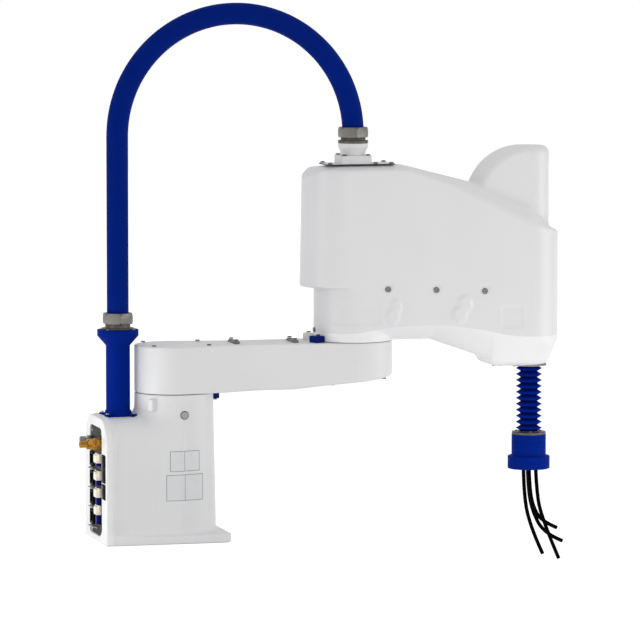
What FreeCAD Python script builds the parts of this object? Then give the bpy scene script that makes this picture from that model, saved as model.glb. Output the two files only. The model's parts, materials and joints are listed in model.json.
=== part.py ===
import FreeCAD, Part
import math
import os

# Horizontal arm robot with a pleated boot on its lifting shaft and a blue duct arching over its joints.
# Units are millimetres. The first turning axis stands at the origin, the mounting face is z = 0,
# the arm points along +X and +Z is up.

# Reach of the two arms
reach_1 = 450.0
reach_2 = 450.0
x_j2 = reach_1
x_j3 = reach_1 + reach_2

# Round ends of the first arm, and the column under it
hub_r = 95.5
column_r_top = hub_r
column_r_low = hub_r + 6.5
column_fit = 0.4

# Base
foot_rear = -193.5
foot_front = 118.5
foot_half = 124.0
foot_h = 21.0
foot_corner = 25.0
frame_t = 18.5
body_half = 119.5
body_top = 302.0
body_corner = 70.0
column_meet = -5.0
base_wall = 10.0
label_t = 0.6
label_gap = 0.05
hatch_x = (foot_rear + 18.0, foot_front - 18.0)
hatch_half = 87.5
hatch_corner = 20.0
hatch_t = 2.0
plug_x = 5.0
plug_z = 309.0
plug_r = 9.9
plug_back = -85.0
web_low = 284.0
web_high = 300.0
hole_spacing_x = 194.0
hole_spacing_y = 216.0
hole_r = 5.1
hole_depth = 17.0
stop_angle = 134.5
stop_reach = column_r_top + 16.5

# Connector panel on the rear face
panel_half = 68.0
panel_low = 16.0
panel_high = 278.0
panel_corner = 18.0
panel_t = 3.0
panel_recess = 6.0
panel_screw_r = 2.0
panel_face = foot_rear + panel_recess - panel_t
panel_rows = 4
socket_top = 195.0
socket_pitch = 47.0
plug_top = 203.0
plug_pitch = 41.8
air_z = 240.0
brass_y = -45.0
steel_y = 46.0

# Duct riser behind the column
riser_x = -138.0
riser_r = 29.2
riser_flange_r = 50.0
riser_flange_low = 497.0
riser_flange_high = 512.0
riser_cone_low = 473.5
riser_bolt = 33.0
riser_top_bolt_r = 44.5
riser_ear_h = 6.0
gland_nut_low = 526.0
gland_nut_high = 552.0
gland_flats = 66.0
duct_r = 26.3
duct_wall = 3.0

# First arm
waist_half = 68.0
arm1_low = 361.0
arm1_high = 472.5
column_top = arm1_low - 4.0
arm1_rise_from = x_j2 - 165.0
arm1_rise = 0.10
arm1_wall = 9.0
arm1_edge = 8.0
lid_t = 5.0
bar_half = 38.0
bar_h = 6.5
bar_bolt = 28.0
lid_screw_r = 2.5
bumper_gap = 1.5
bumper_t = 24.5
bumper_h = 16.0
bumper_lean = math.radians(25)
front_bumper_h = 22.0

# Reducers at the two turning joints
ring_in_r = 62.0
ring_out_r = 78.0
spline_in_r = 50.0
cup_wall = 3.7
run_gap = 0.3
wave_gap = 0.3
shaft_r = 10.0
motor_screw_r = 3.0
motor_bolt = 48.0
motor_bolt_2 = 44.0
cable_hole_r = 40.0
j2_floor = 420.0
j2_ring_out_r = 84.0

# Second arm
shell_half = hub_r + 1.0
hub2_low = arm1_high + 2.0
seam_hub = hub2_low + 21.5
shell_rear_x = x_j2 - 35.5
shell_front_x = x_j3 - 28.0
overhang_low = 606.0
shell_top = 903.0
shell_t = 4.0
deck_top = 525.0
deck_gap = 1.5
core_r = shell_half - shell_t - 4.5
hump_r = 58.0
hump_x = x_j3 - 11.3
hump_rear = x_j3 - 150.0
hump_top = 943.0
hump_foot = 838.0
screw_recess = 1.2
cover_screw_r = 3.0
cover_head_r = 7.0
cover_lug_t = 12.0
flange_bolt_r = 51.0
ring_bolt_r = j2_ring_out_r - 5.0

# Lifting shaft, boot and tool collar
tool_shaft_r = 15.0
tool_bore_r = 9.0
shaft_top = 834.0
boot_high = 400.0
boot_low = 237.0
carriage_step = 1.5
boot_out_r = 32.2
boot_root_r = 21.0
boot_pleats = 11
boot_wall = 1.4
collar_r = 42.5
collar_wide_r = 52.0
tool_bolt_r = 44.0
tool_hole_r = 2.1
nose_low = boot_high + 4.0
collar_high = 229.0
collar_seam = 210.6
collar_step = 176.0
collar_low = 144.0
cable_r = 4.7
cable_starts = [(-19.5, -20.0), (16.0, -6.0), (5.0, 14.0), (5.0, 26.0)]
cable_bends = [[(-18.5, -64), (-1, -144), (31, -212)],
               [(18.5, -54), (32, -124), (77, -227)],
               [(6.5, -44), (15, -96), (38, -136), (78, -153)],
               [(6.5, -49), (17, -109), (48, -168), (96, -188)]]

# Drives of the lifting shaft
nut_r = 26.0
barrel_r = 34.0
nose_bolt = 38.0
nose_screw_r = 2.0
belly_screw_x = x_j3 - 90.0
belly_screw_r = 3.0
hub_screw_z = seam_hub + 4.0
hub_screw_r = 2.5
hub_screw_head_r = 6.0
pulley_r = 42.0
small_pulley_r = 24.0
pulley_shaft_r = 8.0
turn_belt_z = 580.0
lift_belt_z = 650.0
lift_motor_xy = (x_j3 - 180.0, -40.0)
turn_motor_xy = (x_j3 - 260.0, 45.0)
motor_half = 30.0
motor_foot_z = 608.0
turn_nut_low = 412.0
turn_nut_high = turn_belt_z + 16.0
lift_nut_low = lift_belt_z - 26.0
lift_nut_high = lift_belt_z + 62.0
belt_t = 2.0
belt_w = 14.0

# Top fitting of the duct on the second joint's axis
plate_x = (x_j2 - 76.0, x_j2 + 96.0)
plate_half = 45.0
plate_t = 2.5
block_half = 38.0
block_h = 19.5
block_bolt = 30.0
duct_screw_r = 2.5
cup_low_r = 31.0
cup_high_r = 36.5
cup_h = 30.0


# Outlines of the second arm along X: the first points are offsets from the second joint's axis,
# the others from the tool axis, each with its height or its inset from the shell's half width
def along(near_hub, near_nose):
    return [(x_j2 + x, v) for x, v in near_hub] + [(x_j3 + x, v) for x, v in near_nose]


seam_line = along([(-150, seam_hub), (-19, seam_hub + 1), (59, seam_hub + 12), (107, seam_hub + 16),
                   (171, seam_hub + 17)],
                  [(-216, seam_hub + 14), (-146, seam_hub + 3), (-82, seam_hub - 11), (-38, seam_hub - 16),
                   (90, seam_hub - 18)])
roof_line = along([(-132, shell_top - 21), (-95, shell_top), (115, shell_top)],
                  [(-150, shell_top - 48), (-10, shell_top - 103),
                   (30, shell_top - 135), (69, shell_top - 165)])
side_line = along([(-132, shell_top - 27), (-95, shell_top - 8), (117, shell_top - 8)],
                  [(-232, shell_top - 44), (-156, shell_top - 81), (-105, shell_top - 106),
                   (-25, shell_top - 141), (4, shell_top - 153), (69, shell_top - 167)])
belly_line = along([(-50, hub2_low), (186, hub2_low)],
                   [(-125, nose_low + 21), (-116, nose_low + 6), (-100, nose_low), (43, nose_low),
                    (53, nose_low + 33), (69, hub2_low - 0.5)])
belly_inset = along([(-50, 51.5), (186, 51.5)],
                    [(-125, 34.5), (-20, 36.5), (0, 41.5), (20, 51.5), (35, 66.5), (43, 82.5), (69, 93.5)])
roof_inset = along([(-150, 40), (117, 40)],
                   [(-200, 36.5), (-28, 38.5), (5, 44.5), (35, 58.5), (69, 91.5)])


# Plain solids
def box(x0, x1, y0, y1, z0, z1):
    return Part.makeBox(x1 - x0, y1 - y0, z1 - z0, FreeCAD.Vector(x0, y0, z0))


def rod(x, y, z0, z1, r):
    return Part.makeCylinder(r, z1 - z0, FreeCAD.Vector(x, y, z0))


def rod_x(x0, x1, y, z, r):
    return Part.makeCylinder(r, x1 - x0, FreeCAD.Vector(x0, y, z), FreeCAD.Vector(1, 0, 0))


def rod_y(x, y0, y1, z, r):
    return Part.makeCylinder(r, y1 - y0, FreeCAD.Vector(x, y0, z), FreeCAD.Vector(0, 1, 0))


def cone(x, y, z0, z1, r0, r1):
    return Part.makeCone(r0, r1, z1 - z0, FreeCAD.Vector(x, y, z0))


def tube(x, y, z0, z1, r_in, r_out):
    return rod(x, y, z0, z1, r_out).cut(rod(x, y, z0 - 1, z1 + 1, r_in))


def join(shapes):
    whole = shapes[0]
    if len(shapes) > 1:
        whole = shapes[0].multiFuse(shapes[1:])
    return whole.removeSplitter()


def group(shapes):
    return Part.makeCompound(shapes)


def face_of(points):
    ring = [FreeCAD.Vector(*p) for p in points]
    return Part.Face(Part.makePolygon(ring + [ring[0]]))


def slab_y(outline, y0, y1):
    face = face_of([(x, y0, z) for x, z in outline])
    return face.extrude(FreeCAD.Vector(0, y1 - y0, 0))


def slab_z(outline, z0, z1):
    face = face_of([(x, y, z0) for x, y in outline])
    return face.extrude(FreeCAD.Vector(0, 0, z1 - z0))


def hexagon(x, y, z0, z1, flats, turn=0.0):
    r = flats / math.sqrt(3.0)
    angles = [math.radians(60 * k + turn) for k in range(6)]
    return slab_z([(x + r * math.cos(a), y + r * math.sin(a)) for a in angles], z0, z1)


def hexagon_x(x0, x1, y, z, flats):
    r = flats / math.sqrt(3.0)
    angles = [math.radians(60 * k) for k in range(6)]
    face = face_of([(x0, y + r * math.cos(a), z + r * math.sin(a)) for a in angles])
    return face.extrude(FreeCAD.Vector(x1 - x0, 0, 0))


def at(line, x):
    for (xa, za), (xb, zb) in zip(line, line[1:]):
        if x <= xb:
            return za + (zb - za) * (max(x, xa) - xa) / (xb - xa)
    return line[-1][1]


def bolt_circle(x, y, r, count, first):
    angles = [math.radians(first + 360.0 * k / count) for k in range(count)]
    return [(x + r * math.cos(a), y + r * math.sin(a)) for a in angles]


def corners(x, y, half_x, half_y):
    return [(x + sx * half_x, y + sy * half_y) for sx in (-1, 1) for sy in (-1, 1)]


# Socket head screw standing on z, its shank running down (way 1) or up (way -1)
def cap_screw(x, y, z, r, shank, way=1):
    head_h = 1.2 * r
    head_r = 0.82 * 2 * r
    socket = hexagon(x, y, z + way * head_h * 0.45, z + way * head_h * 1.1, 1.5 * r)
    head = rod(x, y, min(z, z + way * head_h), max(z, z + way * head_h), head_r)
    stem = rod(x, y, min(z, z - way * shank), max(z, z - way * shank), r)
    return join([head.cut(socket), stem])


def screw_hole(x, y, z0, z1, r):
    return rod(x, y, z0, z1, r + 0.15)


# Cross-section of the base body: a rectangle with two rounded upper corners
def body_section(x, half, low, high, r):
    k = r * math.sqrt(0.5)
    p = [(-half, low), (half, low), (half, high - r), (half - r, high), (r - half, high), (-half, high - r)]
    v = [FreeCAD.Vector(x, y, z) for y, z in p]
    mid_a = FreeCAD.Vector(x, half - r + k, high - r + k)
    mid_b = FreeCAD.Vector(x, r - half - k, high - r + k)
    edges = [Part.makeLine(v[0], v[1]), Part.makeLine(v[1], v[2])]
    edges.append(Part.Arc(v[2], mid_a, v[3]).toShape())
    edges.append(Part.makeLine(v[3], v[4]))
    edges.append(Part.Arc(v[4], mid_b, v[5]).toShape())
    edges.append(Part.makeLine(v[5], v[0]))
    return Part.Wire(edges)


def body_run(x0, half0, x1, half1, low, high, r):
    ends = [body_section(x0, half0, low, high, r), body_section(x1, half1, low, high, r)]
    return Part.makeLoft(ends, True, True)


def rounded_plate_x(x0, x1, half, low, high, r):
    solid = box(x0, x1, -half, half, low, high)
    edges = [e for e in solid.Edges if abs(e.tangentAt(e.FirstParameter).x) > 0.9]
    return solid.makeFillet(r, edges)


def rounded_plate_z(x0, x1, y0, y1, z0, z1, r):
    solid = box(x0, x1, y0, y1, z0, z1)
    edges = [e for e in solid.Edges if abs(e.tangentAt(e.FirstParameter).z) > 0.9]
    return solid.makeFillet(r, edges)


def column():
    return cone(0, 0, 0, column_top, column_r_low + column_fit, column_r_top)


# Heights of each row: its socket's middle and its plug's middle
def row_heights():
    return [(socket_top - socket_pitch * k, plug_top - plug_pitch * k) for k in range(panel_rows)]


def panel_screw_spots():
    high = panel_high - 14
    low = panel_low + 8
    return [(y, z) for y in (-panel_half + 14, panel_half - 14) for z in (low, high)]


# Base
def base_body(grow):
    return body_run(foot_rear + frame_t, body_half + grow, column_meet, column_r_top + 2 + grow, 0, body_top,
                    body_corner - 4)


def stop_lugs():
    lugs = []
    for side in (-1, 1):
        lug = box(column_r_top - 15.5, stop_reach, -7, 7, arm1_low - 43, arm1_low - 13)
        lug.rotate(FreeCAD.Vector(0, 0, 0), FreeCAD.Vector(0, 0, 1), side * stop_angle)
        lugs.append(lug)
    return lugs


def base_casting():
    foot = rounded_plate_z(foot_rear, foot_front, -foot_half, foot_half, 0, foot_h, foot_corner)
    rear_frame = body_run(foot_rear, foot_half, foot_rear + frame_t, foot_half, 0, body_top, body_corner)
    body = base_body(0)
    outer = join([foot, rear_frame, body, column()] + stop_lugs())
    wall = base_wall
    chamber = body_run(foot_rear + wall, body_half - wall, -60, column_r_top - 4, 14, body_top - wall - 3,
                       body_corner - 8)
    bore = rod(0, 0, 14, web_low, column_r_top - base_wall + 0.5)
    link = box(-column_r_top, 0, -60, 60, 30, 270)
    under = hatch_plate(0.5, -1, hatch_t + 3)
    hatch = hatch_plate(-9.5, 4, 15)
    top_bore = rod(0, 0, web_high, column_top + 1, ring_out_r)
    web_hole = rod(0, 0, web_low - 1, web_high + 1, shaft_r + 8)
    recess = rounded_plate_x(foot_rear - 1, foot_rear + panel_recess, panel_half + 0.5, panel_low - 0.5,
                             panel_high + 0.5, panel_corner)
    window = rounded_plate_x(foot_rear - 1, foot_rear + wall + 1, panel_half - 4, panel_low + 21,
                             panel_high - 21, 8)
    duct = rod(riser_x, 0, body_top - 40, body_top + 1, duct_r - duct_wall)
    plug = rod_y(plug_x, -body_half, plug_back + 1, plug_z, plug_r + run_gap)
    cuts = [chamber, bore, link, under, hatch, top_bore, web_hole, recess, window, duct, plug]
    for x, y in corners(0, 0, hole_spacing_x / 2, hole_spacing_y / 2):
        cuts.append(rod(x, y, -1, hole_depth, hole_r))
    for x, y in corners(riser_x, 0, riser_bolt, riser_bolt):
        cuts.append(screw_hole(x, y, body_top - 10, body_top + 1, 3))
    for x, y in hatch_screw_spots():
        cuts.append(screw_hole(x, y, 0, 11, 2))
    for y, z in panel_screw_spots():
        cuts.append(rod_x(foot_rear, foot_rear + wall, y, z, panel_screw_r + 0.15))
    for x, y in corners(0, 0, motor_bolt, motor_bolt):
        cuts.append(screw_hole(x, y, web_low - 1, web_high - 4, motor_screw_r))
    return outer.cut(Part.makeCompound(cuts))


# Rounded plate of the bottom hatch, wider than the cover by grow on each side
def hatch_plate(grow, z0, z1):
    half = hatch_half + grow
    return rounded_plate_z(hatch_x[0] - grow, hatch_x[1] + grow, -half, half, z0, z1,
                           hatch_corner + min(grow, 0) / 2)


def hatch_screw_spots():
    rear = hatch_x[0] + 9.5
    front = hatch_x[1] - 9.5
    spots = ((rear, hatch_half - 9.5), ((rear + front) / 2, hatch_half - 4.5), (front, hatch_half - 9.5))
    return [(x, side * y) for x, y in spots for side in (-1, 1)]


def bottom_cover():
    plate = hatch_plate(0, 3, 3 + hatch_t)
    holes = [screw_hole(x, y, 0, 6, 2) for x, y in hatch_screw_spots()]
    return plate.cut(Part.makeCompound(holes))


def base_screws():
    screws = [cap_screw(x, y, 3, 2, 8, -1) for x, y in hatch_screw_spots()]
    for y, z in panel_screw_spots():
        face = panel_face
        head = Part.makeSphere(4.4, FreeCAD.Vector(face + 2.4, y, z)).common(
            box(face - 3, face, y - 6, y + 6, z - 6, z + 6))
        slot = box(face - 3, face - 1.2, y - 0.5, y + 0.5, z - 6, z + 6)
        screws.append(join([head.cut(slot), rod_x(face, face + 9, y, z, panel_screw_r)]))
    return group(screws)


def connector_panel():
    x0 = panel_face
    plate = rounded_plate_x(x0, x0 + panel_t, panel_half, panel_low, panel_high, panel_corner)
    cuts = [rod_x(x0 - 1, x0 + 4, y, z, panel_screw_r + 0.15) for y, z in panel_screw_spots()]
    for zs, zp in row_heights():
        cuts.append(box(x0 - 1, x0 + 4, 26.5, 61.5, zs - 14.5, zs + 14.5))
        cuts.append(box(x0 - 1, x0 + 4, -50, -13, zs - 12, zp + 10))
    cuts.append(rod_x(x0 - 1, x0 + 4, brass_y, air_z, 8.1))
    cuts.append(rod_x(x0 - 1, x0 + 4, steel_y, air_z, 6.1))
    return plate.cut(Part.makeCompound(cuts))


def panel_sockets():
    x0 = panel_face
    shells = []
    for zs, zp in row_heights():
        rim = box(x0 - 5, x0, 24, 64, zs - 17, zs + 17)
        body = box(x0, x0 + 26, 26.7, 61.3, zs - 14.3, zs + 14.3)
        cave = box(x0 - 6, x0 + 16, 30, 58, zs - 11, zs + 11)
        pins = [rod_x(x0 + 10, x0 + 17, y, zs + dz, 1.2) for y in (35, 41, 47, 53) for dz in (-6, 0, 6)]
        shells.append(join([join([rim, body]).cut(cave)] + pins))
    return group(shells)


def panel_plugs():
    x0 = panel_face
    plugs = []
    for zs, zp in row_heights():
        body = box(x0 - 20, x0 + 14, -48, -15, zp - 10, zp + 9)
        grip = box(x0 - 13, x0, -52, -11, zp - 4, zp + 12)
        ribs = [box(x0 - 21.5, x0 - 20, y, y + 3, zp - 7, zp + 6) for y in (-45, -37, -29, -21)]
        plugs.append(join([body, grip] + ribs))
        plugs.append(box(x0 - 16, x0 + 14, -46, -17, zs - 11, zp - 10))
    return group(plugs)


def panel_clips():
    x0 = panel_face
    clips = []
    for zs, zp in row_heights():
        z = zs - socket_pitch / 2
        bar = box(x0 - 3, x0, -8, 66, z - 1.4, z + 1.4)
        ears = [box(x0 - 9, x0, y, y + 10, z - 1.4, z + 1.4) for y in (20, 54)]
        clips.append(join([bar] + ears))
    return group(clips)


def air_fittings():
    x0 = panel_face
    y = brass_y
    parts = [rod_x(x0 - 52, x0 + 16, y, air_z, 8), hexagon_x(x0 - 34, x0 - 22, y, air_z, 24)]
    parts += [rod_x(x0 - 22, x0 - 18, y, air_z, 10), hexagon_x(x0 - 18, x0 - 5, y, air_z, 26)]
    parts += [rod_x(x0 - 5, x0, y, air_z, 15), rod_x(x0 + 3, x0 + 10, y, air_z, 12)]
    for k in range(6):
        parts.append(rod_x(x0 - 51 + 3 * k, x0 - 49.6 + 3 * k, y, air_z, 8.7))
    brass = join(parts).cut(rod_x(x0 - 60, x0 + 30, y, air_z, 5))
    y = steel_y
    steel = join([rod_x(x0 - 28, x0 + 14, y, air_z, 6), hexagon_x(x0 - 14, x0, y, air_z, 22),
                  rod_x(x0 - 32, x0 - 18, y, air_z, 9.5), rod_x(x0 + 3, x0 + 8, y, air_z, 9)])
    return group([brass, steel.cut(rod_x(x0 - 60, x0 + 30, y, air_z, 3.5))])


def blank_plates():
    x0 = foot_rear
    upper = box(x0 - 1.6, x0, -112, -78, 150, 218)
    lower = box(x0 - 1.6, x0, -112, -78, 110, 147)
    return group([upper, lower])


def label_plates():
    t = label_t
    grown = cone(0, 0, 0, column_top, column_r_low + column_fit + t, column_r_top + t)
    low_r = column_r_low + column_fit + label_gap
    kept = cone(0, 0, 0, column_top, low_r, column_r_top + label_gap)
    skin = join([grown, base_body(t)]).cut(join([kept, base_body(label_gap)]))
    upper = skin.common(box(-33, 43, -foot_half - 6, -60, 174, 223))
    lower = skin.common(box(-42, 52, -foot_half - 6, -60, 103, 166))
    return group([upper, lower])


def side_plug():
    face = -column_r_top - 2
    body = rod_y(plug_x, face, plug_back, plug_z, plug_r)
    return join([body, rod_y(plug_x, face - 2, face, plug_z, plug_r - 1.3)])


def riser_pipe():
    parts = [rod(riser_x, 0, body_top, riser_cone_low, riser_r)]
    parts.append(cone(riser_x, 0, riser_cone_low, riser_flange_low, riser_r, riser_flange_r))
    parts.append(rod(riser_x, 0, riser_flange_low, riser_flange_high, riser_flange_r))
    parts.append(cone(riser_x, 0, body_top, body_top + 14, riser_r + 5, riser_r + 2.5))
    for x, y in corners(riser_x, 0, riser_bolt, riser_bolt):
        parts.append(rod(x, y, body_top, body_top + riser_ear_h, 7))
        reach = riser_bolt * math.sqrt(2)
        ear = box(riser_x, riser_x + reach, -6, 6, body_top, body_top + riser_ear_h)
        ear.rotate(FreeCAD.Vector(riser_x, 0, 0), FreeCAD.Vector(0, 0, 1),
                   math.degrees(math.atan2(y, x - riser_x)))
        parts.append(ear)
    bores = [rod(riser_x, 0, body_top - 1, riser_flange_high + 1, riser_r - 5)]
    for x, y in corners(riser_x, 0, riser_bolt, riser_bolt):
        bores.append(screw_hole(x, y, body_top - 1, body_top + 7, 3))
    for x, y in bolt_circle(riser_x, 0, riser_top_bolt_r, 4, 45):
        bores.append(screw_hole(x, y, riser_flange_high - 10, riser_flange_high + 1, 2))
    return join(parts).cut(Part.makeCompound(bores))


def riser_bolts():
    feet = corners(riser_x, 0, riser_bolt, riser_bolt)
    rim = bolt_circle(riser_x, 0, riser_top_bolt_r, 4, 45)
    low = [cap_screw(x, y, body_top + riser_ear_h, 3, 14) for x, y in feet]
    high = [cap_screw(x, y, riser_flange_high, 2, 8) for x, y in rim]
    return group(low + high)


# Cable gland that grips the duct: a flanged body below a hexagon nut
def gland_body(x, z0, z1, flange_r, flange_t):
    parts = [rod(x, 0, z0, z0 + flange_t, flange_r), rod(x, 0, z0 + flange_t, z1, duct_r + 4)]
    return join(parts).cut(rod(x, 0, z0 - 1, z1 + 1, duct_r))


def gland_nut(x, z0, z1):
    blank = hexagon(x, 0, z0, z1, gland_flats, 15)
    crown = cone(x, 0, z0, z1, gland_flats * 0.70, gland_flats * 0.53)
    base = cone(x, 0, z0, z1, gland_flats * 0.54, gland_flats * 0.72)
    return blank.common(crown).common(base).cut(rod(x, 0, z0 - 1, z1 + 1, duct_r + 0.7))


def riser_gland():
    return gland_body(riser_x, riser_flange_high, gland_nut_low, 39, 4)


def riser_nut():
    return gland_nut(riser_x, gland_nut_low, gland_nut_high)


# Blue duct: straight run up from the riser, half circle over to the second joint and down into its gland
def duct_hose():
    r = (x_j2 - riser_x) / 2
    z_arc = top_nut_low() + 9
    a = FreeCAD.Vector(riser_x, 0, gland_nut_low - 10)
    b = FreeCAD.Vector(riser_x, 0, z_arc)
    c = FreeCAD.Vector(riser_x + r, 0, z_arc + r)
    d = FreeCAD.Vector(x_j2, 0, z_arc)
    e = FreeCAD.Vector(x_j2, 0, top_nut_low() - 5)
    path = Part.Wire([Part.makeLine(a, b), Part.Arc(b, c, d).toShape(), Part.makeLine(d, e)])
    outer = path.makePipeShell([Part.Wire(Part.makeCircle(duct_r, a))], True, False)
    inner = path.makePipeShell([Part.Wire(Part.makeCircle(duct_r - duct_wall, a))], True, False)
    return outer.cut(inner)


def j1_motor():
    top = web_low - 8
    body = rounded_plate_z(-45, 45, -45, 45, top - 156, top, 8)
    flange = rounded_plate_z(-55, 55, -55, 55, top, web_low, 10)
    lid = rounded_plate_z(-40, 40, -40, 40, top - 181, top - 156, 8)
    plug = box(-75, -45, -14, 14, top - 136, top - 108)
    whole = join([body, flange, lid, plug])
    spots = corners(0, 0, motor_bolt, motor_bolt)
    holes = [screw_hole(x, y, web_low - 9, web_low + 1, motor_screw_r) for x, y in spots]
    return whole.cut(Part.makeCompound(holes + [rod(0, 0, web_low - 84, web_low + 1, shaft_r + run_gap)]))


def j1_motor_screws():
    spots = corners(0, 0, motor_bolt, motor_bolt)
    return group([cap_screw(x, y, web_low - 8, motor_screw_r, 17, -1) for x, y in spots])


def reducer_ring(x, z0, z1, r_out):
    ring = tube(x, 0, z0, z1, ring_in_r, r_out)
    lip = tube(x, 0, z0, z0 + 14, spline_in_r, ring_in_r + 1)
    return join([ring, lip])


def reducer_output(x, z_low, z_step, z_high):
    cup = tube(x, 0, z_low, z_step + 1, spline_in_r - run_gap - cup_wall, spline_in_r - run_gap)
    flange = tube(x, 0, z_step, z_high, cable_hole_r, ring_in_r - run_gap)
    return join([cup, flange])


def wave_rotor(x, z_disc, disc_h, z0, z1):
    disc = rod(x, 0, z_disc, z_disc + disc_h, spline_in_r - run_gap - cup_wall - wave_gap)
    return join([disc, rod(x, 0, z0, z1, shaft_r)])


# First arm
def arm1_outline(r, half, z):
    a = x_j2 / 2
    rho = (a * a + half * half - r * r) / (2 * (r - half))
    far = math.hypot(a, half + rho)
    tx = a / far * r
    ty = (half + rho) / far * r
    v = FreeCAD.Vector
    rear = Part.Arc(v(tx, ty, z), v(-r, 0, z), v(tx, -ty, z)).toShape()
    near = Part.Arc(v(tx, -ty, z), v(a, -half, z), v(x_j2 - tx, -ty, z)).toShape()
    front = Part.Arc(v(x_j2 - tx, -ty, z), v(x_j2 + r, 0, z), v(x_j2 - tx, ty, z)).toShape()
    far_side = Part.Arc(v(x_j2 - tx, ty, z), v(a, half, z), v(tx, ty, z)).toShape()
    return Part.Face(Part.Wire([rear, near, front, far_side]))


def arm1_prism(inset, z0, z1):
    face = arm1_outline(hub_r - inset, waist_half - inset, z0)
    return face.extrude(FreeCAD.Vector(0, 0, z1 - z0))


def arm1_wedge(drop):
    x_end = x_j2 + 150
    rise = arm1_rise * (x_end - arm1_rise_from)
    low = arm1_low + drop
    side = hub_r + 60
    return slab_y([(arm1_rise_from, low), (x_end, low + rise), (x_end, low - 90), (-side, low - 90),
                   (-side, low)], -side, side)


def arm1_outer():
    solid = arm1_prism(0, arm1_low - 20, arm1_high).cut(arm1_wedge(0))
    edges = [e for e in solid.Edges if e.BoundBox.ZMax < arm1_low + 40 and e.BoundBox.ZLength < 30]
    edges = [e for e in edges if max(abs(e.BoundBox.YMin), abs(e.BoundBox.YMax)) > 40 and e.Length > 40]
    return solid.makeFillet(arm1_edge, [e for e in edges if not is_cross_edge(e)])


def is_cross_edge(e):
    return e.BoundBox.XLength < 1.0


def lid_plan(inset, z0, z1):
    room = box(-hub_r - 10, x_j2 - hub_r - 16.5, -hub_r, hub_r, z0 - 1, z1 + 1)
    return arm1_prism(inset, z0, z1).common(room)


def lid_screw_spots():
    reach = hub_r - 21.5
    return [(x, side * (reach - 12)) for x in (12 - reach, reach) for side in (-1, 1)]


def bar_spots():
    return [x_j2 / 3, x_j2 - hub_r - 57.5]


def ring_screw_spots():
    a = math.radians(35)
    return corners(x_j2, 0, ring_bolt_r * math.cos(a), ring_bolt_r * math.sin(a))


def under_arm1(x):
    return arm1_low + 1 + arm1_rise * (x - arm1_rise_from)


def j2_bumper_spots():
    r = shell_half + bumper_gap + bumper_t / 2
    return [(x_j2 - r * math.cos(bumper_lean), side * r * math.sin(bumper_lean)) for side in (-1, 1)]


def arm1_casting():
    outer = arm1_outer()
    rebate = lid_plan(8, arm1_high - lid_t, arm1_high + 1)
    pocket = arm1_prism(arm1_wall + 7, arm1_low + 12, arm1_high - lid_t + 1)
    pocket = pocket.common(box(-hub_r, x_j2 - hub_r - 34.5, -hub_r, hub_r, 0, arm1_high + 10))
    seat = arm1_high - lid_t
    posts = [rod(x, y, arm1_low + 5, seat, 9) for x, y in lid_screw_spots()]
    posts += [box(x - 9, x + 9, -waist_half, waist_half, arm1_low + 60, seat) for x in bar_spots()]
    pocket = pocket.cut(Part.makeCompound(posts))
    cuts = [rebate, pocket, rod(x_j2, 0, j2_floor, arm1_high + 1, j2_ring_out_r)]
    cuts.append(rod(0, 0, arm1_low - 1, arm1_low + 20, cable_hole_r))
    cuts.append(rod(x_j2, 0, j2_floor - 28, j2_floor + 1, 22))
    cuts.append(box(x_j2 - hub_r - 44.5, x_j2, -20, 20, j2_floor - 28, j2_floor - 8))
    for x, y in bolt_circle(0, 0, flange_bolt_r, 8, 22.5):
        cuts.append(screw_hole(x, y, arm1_low - 1, arm1_low + 13, 3))
    for x, y in lid_screw_spots():
        cuts.append(screw_hole(x, y, arm1_high - 16, arm1_high, lid_screw_r))
    for x in bar_spots():
        for y in (-bar_bolt, bar_bolt):
            cuts.append(screw_hole(x, y, arm1_high - 16, arm1_high, lid_screw_r))
    for x, y in ring_screw_spots():
        cuts.append(screw_hole(x, y, arm1_low - 20, j2_floor + 1, 4))
        cuts.append(rod(x, y, arm1_low - 20, under_arm1(x), 8))
    for x, y in j2_bumper_spots():
        cuts.append(screw_hole(x, y, arm1_high - 10, arm1_high + 1, lid_screw_r))
    cuts.append(screw_hole(front_bumper_x(), 0, arm1_low - 1, arm1_low + 9, lid_screw_r))
    return outer.cut(Part.makeCompound(cuts))


def arm1_lid():
    plate = lid_plan(8.4, arm1_high - lid_t, arm1_high)
    spots = lid_screw_spots() + [(x, y) for x in bar_spots() for y in (-bar_bolt, bar_bolt)]
    holes = [screw_hole(x, y, arm1_high - lid_t - 1, arm1_high + 1, lid_screw_r) for x, y in spots]
    return plate.cut(Part.makeCompound(holes))


def arm1_screws():
    r = lid_screw_r
    screws = [cap_screw(x, y, arm1_high, r, 14) for x, y in lid_screw_spots()]
    screws += [cap_screw(x, y, arm1_high + bar_h, r, 20) for x in bar_spots() for y in (-bar_bolt, bar_bolt)]
    screws += [cap_screw(x, y, arm1_high + bumper_h, r, 24) for x, y in j2_bumper_spots()]
    screws.append(cap_screw(front_bumper_x(), 0, arm1_low - front_bumper_h, r, 30, -1))
    return group(screws)


def cable_bars():
    bars = []
    for x in bar_spots():
        top = arm1_high + bar_h
        bar = box(x - 6, x + 6, -bar_half, bar_half, arm1_high, top)
        slope = [(x - 6, arm1_high + 3), (x - 6, top + 1.5), (x - 1, top + 1.5)]
        bar = bar.cut(slab_y(slope, -bar_half - 2, bar_half + 2))
        holes = [screw_hole(x, y, arm1_high - 1, top + 1, lid_screw_r) for y in (-bar_bolt, bar_bolt)]
        bars.append(bar.cut(Part.makeCompound(holes)))
    return group(bars)


def front_bumper_x():
    return column_r_top + 8.0


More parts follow.
